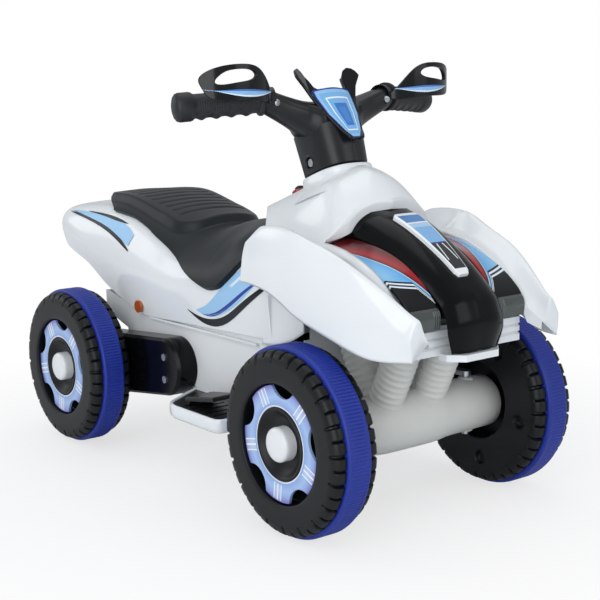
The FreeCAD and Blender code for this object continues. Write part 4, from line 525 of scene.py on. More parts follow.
outer = np.linspace(0, 1, 50)
inner_columns = (len(outer) - 1, -len(outer))
limit = inner_share(OPEN_X)
columns = np.concatenate([outer * limit, np.linspace(limit, 1 - limit, 83)[1:-1], 1 - outer[::-1] * limit])
middle_part = (columns > limit + 1e-9) & (columns < 1 - limit - 1e-9)
rear_x = np.full(columns.shape, 150.0)
front_x = np.full(columns.shape, OPEN_X)
for _ in range(80):
    spot = cowl_at(rear_x, columns)
    y = np.abs(spot[:, 1])
    fender = smooth_step(97, 112, y)
    vee = VEE_X + VEE_SPREAD * np.minimum(y, 100)
    fender_x = np.interp(spot[:, 2], *FENDER_REAR.T)
    rear_x += 0.3 * (vee * (1 - fender) + fender * fender_x - rear_x)
    y = np.abs(cowl_at(front_x, columns)[:, 1])
    front_x += 0.3 * (np.where(middle_part, np.interp(y, *OPENING.T), OPEN_X) - front_x)
back = cowl_at(rear_x + np.linspace(0, 1, 100)[:, None] * (front_x - rear_x), columns)
ahead_x = np.linspace(OPEN_X, TIP_X, 90)[1:, None]
drift = inner_share(ahead_x[:, 0])[:, None] / limit
fore = cowl_at(ahead_x, np.where(columns < 0.5, columns * drift, 1 - (1 - columns) * drift))
tip = fore[-1:]
chord = np.where(columns[:, None] < 0.5, tip[0, 0], tip[0, -1])
inner_foot = np.where(columns[:, None] < 0.5, *tip[0, inner_columns])
along = np.where(columns < 0.5, columns / limit, (1 - columns) / limit)[:, None]
web = chord * (1 - along) + inner_foot * along
closing = [tip[0] * (1 - s) + web * s + np.array([d, 0, 0])
           for s, d in ((0.03, 0.7), (0.10, 1.0), (0.5, 1.0), (1.0, 1.0))]
cowl = np.concatenate([back, fore, np.array(closing)])
rows, cols = cowl.shape[:2]
faces = quads(rows, cols)
in_front = faces.min(1) // cols >= len(back) - 1
crosses = middle_part[faces % cols].any(1)
piece("front_cowl_moulding", cowl, faces[~(in_front & crosses)], white_body, "chassis",
      "front_cowl", inside=(250, 0, 230), sharp=50, wall=COWL_WALL)

# Brow lip and inner fender walls: the turned-down edges of the same white moulding round the hood opening.
# They stiffen the thin skin, and from the front they close the view between the hood and the fenders.
HOOD_Z = np.array([(0, 371), (30, 369), (48, 358), (57, 346), (70, 340), (92, 334)], float)
rim = back[-1, middle_part]
drop = np.clip(rim[:, 2] - np.interp(np.abs(rim[:, 1]), *HOOD_Z.T) - 2.5, 2.0, 24.0)[:, None]
lip = np.array([rim + np.array([d, 0, 0]) - np.array([0, 0, 1]) * drop * s
                for d, s in ((0, 0), (0.6, 0.1), (0.4, 0.3), (-1.5, 1.0), (-4.0, 1.0))])
piece("cowl_brow_lip", lip, OPEN, white_body, "chassis", inside=(180, 0, 360), sharp=50)
INNER_FOOT = np.array([(250, 324), (300, 318), (348, 302), (384, 279), (400, 260), (410, 240), (434, 234)],
                      float)
for (name, side), column in zip(SIDES, inner_columns):
    edge = np.concatenate([back[-1:, column], fore[:, column]])
    foot = edge.copy()
    foot[:, 2] = np.minimum(np.interp(edge[:, 0], *INNER_FOOT.T), edge[:, 2] - 3)
    wall_rows = np.array([edge, edge * 0.8 + foot * 0.2 - np.array([0, side * 0.6, 0]),
                          foot - np.array([0, side * 1.0, 0])])
    piece("fender_inner_wall_" + name, wall_rows, OPEN, white_body, "chassis",
          inside=(340, side * 130, 290), sharp=50)

# Arch liners: upright walls of the same white plastic from the tub to under the fenders, behind the front
# wheels. They keep road dirt and small feet out of the deck. Each is a plain bent sheet with its own wall.
LINER = np.array([(132, 100.4, 197), (149, 101.0, 198), (170, 100.6, 202), (192, 98.5, 210),
                  (212, 95.0, 222)], float)
LINER_TOP, LINER_WALL = 318.0, 2.5
along_x = np.linspace(LINER[0, 0], LINER[-1, 0], 41)
liner_y, liner_low = steady(LINER[:, 0], LINER[:, 1:], along_x).T
rise = np.linspace(0, 1, 24)[:, None]
for name, side in SIDES:
    points = np.stack(np.broadcast_arrays(along_x, side * liner_y,
                                          liner_low + rise * (LINER_TOP - liner_low)), -1)
    piece("arch_liner_" + name, points, OPEN, white_body, "chassis", inside=(180, 0, 260),
          wall=LINER_WALL)


# Collar: the raised neck of the same moulding round the steering column, with a soft fillet down to the
# dome. Its rim ends just under the column cover, which turns above it.
def rounded(length, width, count, power=2.63):
    """Points of a rounded oblong round the middle: a superellipse of that power."""
    turn = np.linspace(0, 2 * np.pi, count, endpoint=False)
    c, s = np.cos(turn), np.sin(turn)
    r = (np.abs(c) ** power + np.abs(s) ** power) ** (-1 / power)
    return np.stack([length / 2 * r * c, width / 2 * r * s], -1)


def raked(ring, level):
    """Rings round the steering axis: sideways pairs and the height along the axis, in the row frame."""
    level = np.broadcast_to(np.asarray(level, float), ring.shape[:-1])[..., None]
    forward = np.array([math.cos(RAKE), 0, math.sin(RAKE)])
    return STEER + ring[..., :1] * forward + ring[..., 1:] * np.array([0, 1, 0]) + level * UP


COVER = (84.0, 70.0)
neck = [(-0.8, -14), (-0.8, 8.6), (0.2, 9.8), (1.6, 10.2), (3.0, 9.6), (3.8, 8.2), (4.2, 5), (5, 1), (7, -3),
        (11, -8), (18, -14), (26, -22)]
rings = np.array([raked(rounded(COVER[0] + 2 * grow, COVER[1] + 2 * grow, 120), level)
                  for grow, level in neck])
piece("cowl_collar", rings, TUBE, white_body, "chassis", sharp=50)


# Hood spine: a glossy black cover along the middle of the hood, arched across and bent down over the nose,
# clipped into the cowl's opening. Deep gloss, so it mirrors the studio.
# Stations: x, z, half width, fall from the middle to the edge, and slope in degrees.
SPINE = np.array([(254, 377, 57.5, 24, 21), (300, 362, 53, 22, 27), (350, 335, 48.5, 18, 33),
                  (393, 303, 46.5, 14, 40), (417, 276, 45.5, 11, 62), (424, 250, 45, 9, 88),
                  (420, 219.5, 36, 7, 98)], float)
SPINE_WALL = 4.0


def strip_at(table, step, share, lift=0.0):
    """Points of an arched strip: steps along the table's stations, shares across, a lift off its face.

    Each section is square to the path; its level falls off from the middle by a power of the share."""
    x, z, half, crown, slope = np.moveaxis(steady(np.arange(float(len(table))), table, step), -1, 0)
    slope = np.radians(slope)
    level = lift - crown * np.abs(share) ** 3.6
    return np.stack(np.broadcast_arrays(x + np.sin(slope) * level, half * share,
                                        z + np.cos(slope) * level), -1)


steps = np.linspace(0, 6, 90)[:, None]
share = np.linspace(-1, 1, 49)
spine = strip_at(SPINE, steps, share)
spine[..., 2] += 1.2 * np.exp(-(share * 8) ** 2) * smooth_step(3.3, 4.0, steps)
SKIRT = 20.0
skirt = spine[:, [0, -1]] - np.array([0, 0, SKIRT]) * smooth_step(4.6, 3.4, steps)[..., None]
spine = np.concatenate([skirt[:, :1], spine, skirt[:, 1:]], 1)
piece("hood_spine_cover", spine, OPEN, black_gloss, "chassis", "hood_spine",
      inside=(300, 0, 220), wall=SPINE_WALL)

# Hood plate: a tapering white plate pressed onto the spine, printed with a sky-blue field, a pale bar
# across it and a dark front with two pale darts. The print is plain shapes under a clear coat.
PLATE_X, PLATE_HALF, PLATE_RISE = (292.0, 393.0), (21.0, 10.0), 5.3


def printed(name, rough, coat, shine=0.5):
    """Glossy plastic with a print in the piece's own UV: the material, its node tree, and the UV's u and v.

    The print is linked to the base colour afterwards; gloss, coat and shine are the same all over."""
    material = bpy.data.materials.new(name)
    material.use_nodes = True
    tree = material.node_tree
    for socket, value in (("Roughness", rough), ("Coat Weight", coat), ("Specular IOR Level", shine)):
        tree.nodes["Principled BSDF"].inputs[socket].default_value = value
    split = add(tree, "ShaderNodeSeparateXYZ", {0: add(tree, "ShaderNodeUVMap", uv_map="print").outputs[0]})
    return material, tree, split.outputs[0], split.outputs[1]


plate_print, tree, u, v = printed("printed_hood_plate", 0.2, 0.4)
WHITE, SKY, NAVY, INK = paint("#eceff2"), paint("#7db4e4"), paint("#2c3f9a"), paint("#090a0c")
field = add(tree, "ShaderNodeValToRGB", {0: v}, hard=True,
            stops=[(0.0, WHITE), (0.05, paint("#3f7fc0")), (0.20, WHITE), (0.225, paint("#a9cdec")),
                   (0.30, SKY), (0.56, NAVY), (0.575, INK), (0.93, WHITE), (1.0, WHITE)])
dart = add(tree, "ShaderNodeMath", {0: v}, {1: 0.58}, operation="SUBTRACT")
reach = add(tree, "ShaderNodeMath", {0: dart.outputs[0]}, {1: 1.25}, operation="MULTIPLY")
bow = add(tree, "ShaderNodeMath", {0: u, 1: reach.outputs[0]}, operation="SUBTRACT")
gap = add(tree, "ShaderNodeMath", {0: bow.outputs[0]}, {1: 0.30}, operation="SUBTRACT")
size_of = add(tree, "ShaderNodeMath", {0: gap.outputs[0]}, operation="ABSOLUTE")
flame = add(tree, "ShaderNodeValToRGB", {0: size_of.outputs[0]}, hard=True,
            stops=[(0.0, (1, 1, 1, 1)), (0.06, (0, 0, 0, 1))])
after = add(tree, "ShaderNodeValToRGB", {0: v}, hard=True,
            stops=[(0.0, (0, 0, 0, 1)), (0.585, (1, 1, 1, 1)), (0.82, (0, 0, 0, 1))])
both = add(tree, "ShaderNodeMath", {0: flame.outputs[0], 1: after.outputs[0]}, operation="MULTIPLY")
inked = add(tree, "ShaderNodeMix", {0: both.outputs[0], 6: field.outputs[0]}, {7: WHITE}, data_type="RGBA")
border = add(tree, "ShaderNodeValToRGB", {0: u}, hard=True, stops=[(0.0, (0, 0, 0, 1)), (0.84, (1, 1, 1, 1))])
framed = add(tree, "ShaderNodeMix", {0: border.outputs[0], 6: inked.outputs[2]}, {7: WHITE}, data_type="RGBA")
tree.links.new(framed.outputs[2], tree.nodes["Principled BSDF"].inputs["Base Color"])
step_line = np.linspace(0, 4, 400)
path_x = strip_at(SPINE, step_line, 0.0)[:, 0]
along = np.linspace(0, 1, 70)
steps = np.interp(PLATE_X[0] + along * (PLATE_X[1] - PLATE_X[0]), path_x, step_line)[:, None]
half = (PLATE_HALF[0] + along * (PLATE_HALF[1] - PLATE_HALF[0]))[:, None]
half = half - 4 * smooth_step(0.04, 0, along)[:, None] - 3 * smooth_step(0.95, 1, along)[:, None]
width = steady(np.arange(float(len(SPINE))), SPINE, steps[:, 0])[:, 2:3]
share = np.linspace(-1, 1, 41)
face = strip_at(SPINE, steps, share * half / width, PLATE_RISE - 0.8 * smooth_step(0.9, 1, np.abs(share)))
foot = strip_at(SPINE, steps, share * half / width, 0.2)
plate = np.concatenate([foot[:1], face, foot[-1:]])
sides = np.concatenate([foot[:1], foot, foot[-1:]])
plate = np.concatenate([sides[:, :1], plate, sides[:, -1:]], 1)
chart = np.stack(np.broadcast_arrays(np.abs(np.pad(share, 1, "edge")), np.pad(along, 1, "edge")[:, None]), -1)
piece("hood_plate_badge", plate, OPEN, plate_print, "chassis", "hood_plate", uv=chart,
      inside=(330, 0, 200), sharp=50)

# Lamp panels: clear-coated printed panels each side of the spine. Red towards the seat, then a sky-blue
# field with pale pinstripes, then ink. In front each has a smoked lens with a few upright ribs.
# Stations: x, z, y of the inner edge, and slope in degrees.
LAMP = np.array([(246, 334, 57.5, 5), (300, 327, 54.5, 14), (348, 311, 50.5, 26), (384, 290, 48.5, 38),
                 (400, 274, 47.5, 62), (404.5, 262, 47, 86), (403, 248.5, 47, 97)], float)
LAMP_OUT, LAMP_RISE, LAMP_WALL, LENS_START = 91.5, 9.0, 4.0, 4.05
lamp_print, tree, u, v = printed("printed_lamp_panel", 0.18, 0.12, shine=0.25)
rear = add(tree, "ShaderNodeValToRGB", {0: v},
           stops=[(0.0, paint("#3a0a0e")), (0.25, paint("#5c1016")), (0.42, paint("#a51a20")),
                  (0.462, paint("#7c1218")), (0.488, paint("#1a0608")), (0.497, paint("#e8edf2")),
                  (0.507, paint("#57a5e0")), (0.75, paint("#8cc4ec")), (1.0, paint("#8cc4ec"))])
front = add(tree, "ShaderNodeValToRGB", {0: u}, hard=True,
            stops=[(0.0, paint("#060709")), (0.500, paint("#10141c")), (0.508, paint("#e6eef5")),
                   (0.522, paint("#20304a")), (0.532, paint("#e6eef5")), (0.546, paint("#060709")),
                   (1.0, paint("#060709"))])
past = add(tree, "ShaderNodeMath", {0: u}, {1: 0.5}, operation="GREATER_THAN")
whole = add(tree, "ShaderNodeMix", {0: past.outputs[0], 6: rear.outputs[0], 7: front.outputs[0]},
            data_type="RGBA")
tree.links.new(whole.outputs[2], tree.nodes["Principled BSDF"].inputs["Base Color"])
# Smoked polycarbonate: dark grey-green, glossy, part of the light passing on into the housing behind.
lens_smoked = bpy.data.materials.new("smoked_lens")
lens_smoked.use_nodes = True
shader = lens_smoked.node_tree.nodes["Principled BSDF"]
shader.inputs["Base Color"].default_value = paint("#474d4c")
shader.inputs["Roughness"].default_value = 0.12
shader.inputs["Transmission Weight"].default_value = 0.25
shader.inputs["Coat Weight"].default_value = 0.5


def lamp_at(step, share, side, lift=0.0):
    """Points of a lamp panel: steps along its stations, shares from the spine out to the fender.

    It rises a little towards the spine by a power of the share that is left."""
    x, z, inner, slope = np.moveaxis(steady(np.arange(float(len(LAMP))), LAMP, step), -1, 0)
    slope = np.radians(slope)
    y = inner + share * (LAMP_OUT - inner)
    z = z + LAMP_RISE * (1 - share) ** 1.5 * smooth_step(4.0, 1.5, step)
    return np.stack(np.broadcast_arrays(x + np.sin(slope) * lift, side * y, z + np.cos(slope) * lift), -1)


steps = np.linspace(0, 6, 150)[:, None]
share = np.linspace(0, 1, 61)
red_end = np.interp(share, [0, 0.15, 0.45, 0.62, 1.0], [3.3, 2.8, 1.9, 1.5, 0.45])
blue_end = np.interp(share, [0, 0.28, 1.0], [3.45, 2.62, 2.30])
chart = 0.5 + np.stack(np.broadcast_arrays((steps - blue_end) / 6, (steps - red_end) / 6), -1)
lens_steps = np.linspace(LENS_START, 5.95, 40)[:, None]
lens_share = np.linspace(0.015, 0.985, 121)
ribs = (0.5 + 0.5 * np.cos(2 * np.pi * lens_share * 14)) * smooth_step(0.34, 0.16, lens_share)
swell = 1.4 * smooth_step(LENS_START, LENS_START + 0.25, lens_steps) + 0.5 * ribs ** 2 + 0.2
for name, side in SIDES:
    piece(f"headlamp_{name}_panel", lamp_at(steps, share, side), OPEN, lamp_print, "chassis",
          "headlamp_" + name, uv=chart, inside=(300, side * 70, 220), wall=LAMP_WALL)
    piece(f"headlamp_{name}_lens", lamp_at(lens_steps, lens_share, side, swell), OPEN, lens_smoked,
          "chassis", inside=(360, side * 70, 240))

# Footrests: white polypropylene trays with a sunk top and a rounded heel end, screwed to the chassis.
# Glossy like the body; the walls draw in to a rounded bottom so that they leave the mould.
TRAY_ROOT, TRAY_ROUND, TRAY_STEPS, TRAY_MIDDLE = 96.0, 15, 480, np.array([70.0, 137.0])
TRAY_PLAN = np.array([(-48, 80), (8, 168), (22, 178), (138, 178), (138, 80), (-48, 80)], float)
# Each row of the tray's skin: how far it is drawn in, its height, and its share of the way to the middle.
TRAY_ROWS = np.array([(9, 90, 0.99), (9, 90, 0.5), (9, 90, 0), (4, 91.2, 0), (1.4, 94, 0), (0.3, 98, 0),
                      (0, 103, 0), (0.2, 107.6, 0), (0.8, 109.3, 0), (2, 110, 0), (3.8, 110, 0),
                      (4.8, 109.5, 0), (5, 108.4, 0), (5, 104, 0), (5, 104, 0.5), (5, 104, 0.99)])
length = np.concatenate([[0], np.cumsum(np.linalg.norm(np.diff(TRAY_PLAN, axis=0), axis=1))])
even = np.linspace(0, length[-1], TRAY_STEPS, endpoint=False)
plan = np.stack([np.interp(even, length, TRAY_PLAN[:, k]) for k in (0, 1)], -1)
plan = np.mean([np.roll(plan, k, 0) for k in range(-TRAY_ROUND, TRAY_ROUND + 1)], 0)
way = np.roll(plan, -1, 0) - np.roll(plan, 1, 0)
inward = np.stack([way[:, 1], -way[:, 0]], -1) / np.linalg.norm(way, axis=1)[:, None]
drawn, level, share = (TRAY_ROWS[:, k, None, None] for k in range(3))
tray = plan + drawn * inward
tray = tray + (TRAY_MIDDLE - tray) * share
tray[..., 1] = np.maximum(tray[..., 1], TRAY_ROOT + drawn[..., 0])
tray = np.concatenate([tray, level + 0 * tray[..., :1]], -1)
for name, side in SIDES:
    piece(f"footrest_{name}_tray", tray * np.array([1, side, 1]), TUBE, white_body, "chassis",
          "footrest_" + name, inside=(70, side * 137, 97))

# Bumper, dash controls and reflectors keep their CAD shapes. The bumper is white like the body, the
# button a bright red push button, the mats and the pedal grained black, the reflectors glossy amber.
red_button = plastic("gloss_red_button", "#b3161d", 0.18, 3.0, 0.02, coat=0.4)
black_satin = plastic("satin_black_moulding", "#15181b", 0.34, 1.4, 0.10, shade=0.2, shine=0.4)
amber_lens = plastic("amber_reflector", "#a8501a", 0.12, 2.0, 0.03, coat=0.6)
dress(white_body, "front_bumper")
dress(red_button, "power_button")
dress(black_satin, "direction_lever", "accelerator_pedal", "footrest_mats")
dress(amber_lens, "side_reflectors")


# Wheels: blow-moulded black polyethylene with a flat face, cross-cut lugs on both shoulders, a dished
# hub and, on the inner face, five moulded dimples. Satin, its black a little clouded, as from use.
FACE_Y, WIDTH, AXLE_Z = 194.0, 64.0, 115.0
CORNERS = {"front_right": (286.0, -1), "front_left": (286.0, 1), "rear_right": (-262.0, -1),
           "rear_left": (-262.0, 1)}
LUGS, LUG_DEPTH, SPOKES, SPOKE_PHASE = 40, 4.6, 5, math.radians(48)
DIMPLE_AT, DIMPLE_R, DIMPLE_DEPTH, LUG_DRAFT = 78.0, 8.0, 7.0, 1.2
MIDDLE, GROOVE_MIDDLE, GROOVE_HALF = WIDTH / 2, 32.5, 16.4
# Cuts between the lugs: half width as a share of the pitch, and the radius where the cut begins.
LONG_CUT, SHORT_CUT = (0.11, 97.0), (0.08, 102.5)
wheel_black = plastic("moulded_black_wheel", "#0d1013", 0.40, 0.9, 0.08, shade=0.18, shine=0.3)


def ring_points(a, r, turn, centre_x, side):
    """Points of a wheel: a way a out from its inner face, a radius r and an angle turn seen from outside."""
    return np.stack(np.broadcast_arrays(centre_x - side * r * np.cos(turn), side * (FACE_Y - WIDTH + a),
                                        AXLE_Z + r * np.sin(turn)), -1)


def rows_of(points, step):
    """A line of (a, r) corners with extra points so that no stretch is longer than the step."""
    rows = []
    for (a0, r0), (a1, r1) in zip(points, points[1:]):
        count = max(1, int(math.ceil(math.hypot(a1 - a0, r1 - r0) / step)))
        share = np.arange(count)[:, None] / count
        rows.append(np.array([[a0, r0]]) * (1 - share) + np.array([[a1, r1]]) * share)
    return np.concatenate(rows + [np.array([points[-1]])])


profile = np.concatenate([
    rows_of([(30, 6.2), (30, 51), (29, 52), (1.5, 52), (0.2, 53.5), (0, 55)], 12),
    rows_of([(0, 57), (0, 98)], 2.2),
    rows_of([(0.3, 100), (1.2, 103.4), (3.0, 106.6), (5.6, 108.9), (8.4, 110), (15.4, 110), (15.9, 109.4),
             (15.9, 104.2)], 2.2),
    rows_of([(49.1, 104.2), (49.1, 109.4), (49.6, 110), (55.6, 110), (58.4, 108.9), (61.0, 106.6),
             (62.8, 103.4), (63.7, 100), (64, 97.5)], 2.2),
    rows_of([(64, 95), (64, 75), (63.7, 73.4), (62.6, 72.3), (61, 72), (39, 72), (38, 71), (38, 50),
             (38.5, 49), (55.9, 49), (55.9, 43.7), (60.2, 43.7), (61.0, 42.8), (61.0, 41.4), (60, 40),
             (57.4, 37.5), (53.4, 33.5), (51.0, 29), (50.0, 24.5), (50, 6.2)], 9)])
TURNS = np.linspace(0, 2 * np.pi, LUGS * 18, endpoint=False)
a_line, r_line = profile[:, :1], profile[:, 1:]
outer_side = a_line > MIDDLE


def lug_cut(turn, a, r):
    """Depth of the cuts between lugs: one short and one long by turns, staggered between the shoulders."""
    count = turn * LUGS / (2 * np.pi) + np.where(a > MIDDLE, 0.0, 0.5)
    off = np.abs(count - np.floor(count) - 0.5)
    long_one = (np.floor(count) % 2) < 0.5
    width = np.where(long_one, LONG_CUT[0], SHORT_CUT[0])
    start = np.where(long_one, LONG_CUT[1], SHORT_CUT[1])
    return 0.5 * (1 + np.tanh((width - off) / 0.028)) * np.clip((r - start) / 4.0, 0, 1)


cut = lug_cut(TURNS, a_line, r_line) * (np.abs(a_line - GROOVE_MIDDLE) > GROOVE_HALF)
r_grid = r_line - LUG_DEPTH * cut
a_grid = a_line - np.where(outer_side, 1.0, -1.0) * LUG_DRAFT * cut
for k in range(SPOKES):
    spot = SPOKE_PHASE + 2 * np.pi * k / SPOKES
    away = np.hypot(r_line * np.cos(TURNS) - DIMPLE_AT * np.cos(spot),
                    r_line * np.sin(TURNS) - DIMPLE_AT * np.sin(spot))
    dimple = 0.5 * DIMPLE_DEPTH * (1 + np.tanh((DIMPLE_R - away) / 0.9))
    a_grid = a_grid + np.where(a_line < 0.5, dimple, 0.0)
for corner, (centre_x, side) in CORNERS.items():
    points = ring_points(a_grid, r_grid, TURNS, centre_x, side)
    piece("wheel_" + corner + "_moulding", points, RING, wheel_black, "wheel_" + corner,
          "wheel_" + corner, inside=(centre_x, side * (FACE_Y - MIDDLE), AXLE_Z), sharp=38)

# Tread bands: soft blue vinyl hoops pressed into the groove of each wheel, ribbed across at a fine pitch
# so that they grip. Satin, the deep blue a little clouded.
BAND_RIBS, BAND_RIB_DEPTH = 170, 0.9
band_blue = plastic("soft_blue_vinyl", "#1c3193", 0.40, 0.8, 0.05, shade=0.14, shine=0.35)
band_profile = rows_of([(16.1, 104.2), (16.1, 111.2), (16.6, 113.2), (17.8, 114.4), (19.6, 115.0),
                        (21.0, 115.0), (44.0, 115.0), (45.4, 115.0), (47.2, 114.4), (48.4, 113.2),
                        (48.9, 111.2), (48.9, 104.2)], 4)
band_turns = np.linspace(0, 2 * np.pi, BAND_RIBS * 5, endpoint=False)
a_line, r_line = band_profile[:, :1], band_profile[:, 1:]
ribs = 0.5 + 0.5 * np.cos(BAND_RIBS * band_turns)
on_tread = np.clip((a_line - 19.2) / 1.6, 0, 1) * np.clip((45.8 - a_line) / 1.6, 0, 1)
r_grid = r_line - BAND_RIB_DEPTH * ribs ** 2 * on_tread
for corner, (centre_x, side) in CORNERS.items():
    points = ring_points(a_line, r_grid, band_turns, centre_x, side)
    piece("band_" + corner + "_vinyl", points, RING, band_blue, "wheel_" + corner,
          "band_" + corner, inside=(centre_x, side * 162.5, AXLE_Z), sharp=50)

# Wheel trims: thin printed plates with five wide spokes, seated on the hub. The print is a plain light blue
# that deepens to violet at the rim, with pale bars along each spoke. Caps: glossy white domes.
TRIM_HOLE, TRIM_R, SCALLOP_R, SCALLOP_AT = 44.2, 70.0, 24.0, 80.0
TRIM_TOP, TRIM_FOOT, TRIM_EDGE = 59.5, 56.1, 0.5
trim_print, tree, u, v = printed("printed_blue_plate", 0.22, 0.4)
radial = add(tree, "ShaderNodeValToRGB", {0: u},
             stops=[(0.45, paint("#dfe6ef")), (0.458, paint("#dfe6ef")), (0.463, paint("#86a3da")),
                    (0.56, paint("#9dbbe6")), (0.64, paint("#8ba0da")), (0.70, paint("#6a66b4"))])
NO, EDGE_MARK, BAR_MARK = (0, 0, 0, 1), (0.9, 0.9, 0.9, 1), (0.22, 0.22, 0.22, 1)
bars = add(tree, "ShaderNodeValToRGB", {0: v}, hard=True,
           stops=[(0.0, EDGE_MARK), (0.008, BAR_MARK), (0.058, EDGE_MARK), (0.074, NO), (1.0, NO)])
reach = add(tree, "ShaderNodeValToRGB", {0: u}, hard=True,
            stops=[(0.0, NO), (0.485, (1, 1, 1, 1)), (0.68, NO)])
mask = add(tree, "ShaderNodeMath", {0: bars.outputs[0], 1: reach.outputs[0]}, operation="MULTIPLY")
banded = add(tree, "ShaderNodeMix", {0: mask.outputs[0], 6: radial.outputs[0]}, {7: paint("#eef2f8")},
             data_type="RGBA")
tree.links.new(banded.outputs[2], tree.nodes["Principled BSDF"].inputs["Base Color"])
cap_white = plastic("gloss_white_cap", "#e2e5e8", 0.18, 2.0, 0.02, coat=0.3, shade=0.03)

trim_turns = np.linspace(0, 2 * np.pi, 400, endpoint=False)
fold = (trim_turns + np.pi / SPOKES) % (2 * np.pi / SPOKES) - np.pi / SPOKES
past = np.abs(fold) - np.pi / SPOKES
reach_in = np.clip(SCALLOP_R ** 2 - (SCALLOP_AT * np.sin(past)) ** 2, 0, None)
edge_r = np.where(SCALLOP_AT * np.abs(np.sin(past)) < SCALLOP_R,
                  SCALLOP_AT * np.cos(past) - np.sqrt(reach_in), TRIM_R)
edge_r = np.minimum(edge_r, TRIM_R)
share = np.array([0, 0.012, 0.05, 0.2, 0.4, 0.6, 0.8, 0.95, 0.988, 1.0])[:, None]
top = TRIM_HOLE + share * (edge_r[None, :] - TRIM_HOLE)
level = TRIM_TOP - TRIM_EDGE * ((share < 0.005) | (share > 0.995))
r_grid = np.concatenate([top, top[::-1][:1], top[:1]])
a_grid = np.concatenate([level + 0 * top, TRIM_FOOT + 0 * top[:2]])
chart = np.stack([r_grid / 100, np.abs(r_grid * np.sin(fold)) / 100], -1)
cap_profile = rows_of([(50.2, 20.9), (62.5, 20.9), (64.6, 20.0), (66.2, 18.0), (67.4, 14.5), (68.1, 10),
                       (68.5, 5), (68.5, 0.01)], 3)
cap_turns = np.linspace(0, 2 * np.pi, 64, endpoint=False)
for corner, (centre_x, side) in CORNERS.items():
    points = ring_points(a_grid, r_grid, trim_turns + SPOKE_PHASE, centre_x, side)
    piece("trim_" + corner + "_plate", points, RING, trim_print, "wheel_" + corner,
          "trim_" + corner, uv=chart, inside=(centre_x, side * 188.0, AXLE_Z))
    points = ring_points(cap_profile[:, :1], cap_profile[:, 1:], cap_turns, centre_x, side)
    piece("cap_" + corner + "_dome", points, TUBE, cap_white, "wheel_" + corner,
          "cap_" + corner, inside=(centre_x, side * 180.0, AXLE_Z))

# Column cover: a satin black sleeve over the steering shaft between the collar and the bar, moulded in two
# halves, with a round recess on each side for the screw that holds them together.
COVER_TOP, COVER_LEVELS, RECESS, RECESS_R = (88.0, 78.0), (10.8, 66.0), (-6.0, 26.0), 6.6
level = np.linspace(*COVER_LEVELS, 110)
grow = ((level - COVER_LEVELS[0]) / np.ptp(COVER_LEVELS))[:, None, None]
plan = rounded(COVER[0], COVER[1], 360) * (1 - grow) + rounded(COVER_TOP[0], COVER_TOP[1], 360) * grow
away = np.hypot(plan[..., 0] - RECESS[0], level[:, None] - RECESS[1])
swell = 0.9 * np.exp(-((away - RECESS_R - 1.8) / 1.1) ** 2)
dip = 4.4 * smooth_step(RECESS_R + 0.8, RECESS_R - 0.6, away) - swell
seam = 0.7 * np.exp(-(plan[..., 1] / 0.9) ** 2)
plan[..., 1] -= np.sign(plan[..., 1]) * dip
plan[..., 0] -= np.sign(plan[..., 0]) * seam
plan *= 1 - 0.05 * smooth_step(3.0, 0, level - COVER_LEVELS[0])[:, None, None]
crown = [raked(plan[-1] * scale, COVER_LEVELS[1] + rise)
         for scale, rise in ((0.97, 1.6), (0.88, 3.6), (0.6, 5), (0.02, 5))]
sleeve = np.concatenate([raked(plan, level[:, None]), np.array(crown)])
piece("column_sleeve", sleeve, TUBE, black_satin, "steering", "column_cover", sharp=55)

# Handlebar: a fat satin black bar moulded over the steel rods, thick over the column, its arms rising out
# to the grips. A screw with a bright head clamps each arm end.
BAR_MID, GRIP_AT = np.array([141.26, 0.0, 475.86]), np.array([144.0, 100.0, 507.0])
# Sections: y, share of the way to the grip, half depth and half height.
BAR = np.array([(-100, 1, 15, 15.2), (-72.5, 0.65, 17, 17.5), (-45, 0.3, 24, 21), (-27, 0.06, 37, 26),
                (0, 0, 40, 27), (27, 0.06, 37, 26), (45, 0.3, 24, 21), (72.5, 0.65, 17, 17.5),
                (100, 1, 15, 15.2)], float)
y = np.linspace(BAR[0, 0], BAR[-1, 0], 161)
share, deep, tall = steady(BAR[:, 0], BAR[:, 1:], y).T[:, :, None]
turn = np.linspace(0, 2 * np.pi, 72, endpoint=False)
r = (np.abs(np.cos(turn)) ** 2.5 + np.abs(np.sin(turn)) ** 2.5) ** (-1 / 2.5)
groove = 1 - 0.035 * np.exp(-((np.sin(turn) - 0.42) / 0.05) ** 2)
bar = np.stack(np.broadcast_arrays(
    BAR_MID[0] + share * (GRIP_AT[0] - BAR_MID[0]) + deep * r * groove * np.cos(turn), y[:, None],
    BAR_MID[2] + share * (GRIP_AT[2] - BAR_MID[2]) + tall * r * groove * np.sin(turn)), -1)
piece("handlebar_moulding", bar, TUBE, black_satin, "steering", "handlebar", sharp=60)

# Grips: soft black sleeves pushed over the rods, with a flange towards the arm, fine rings, four finger bumps
# underneath and a rounded bulb at the end.
SWEEP, DROOP = math.radians(20), math.radians(3.5)
RING_PITCH, BUMPS = 3.0, (22.0, 41.0, 60.0, 79.0)
grip_rubber = plastic("grained_black_grip", "#1b1e21", 0.5, 1.6, 0.25, shade=0.15, shine=0.45)
arm_end = np.array([(0, 15), (0, 15.4), (9, 15.8), (12.5, 15.6), (14.6, 14.4), (14.6, 9.8)])
head = np.array([(0, 4.4), (1.4, 4.4), (2.4, 3.6), (2.6, 1.8), (1.6, 1.5), (1.6, 0.2)])
outline = np.array([(1, 11), (1, 18.2), (2, 19), (5, 19), (6.4, 18.2), (7.6, 15.6), (9, 15), (86, 15),
                    (88, 15.2), (90, 17), (93, 18), (106, 18), (109.5, 16.8), (112, 13.6), (113.5, 9),
                    (114, 4), (114, 0.4)])
along = np.concatenate([outline[:7, 0], np.linspace(9.5, 85.5, 230), outline[7:, 0]])
radius = np.interp(along, *outline.T)
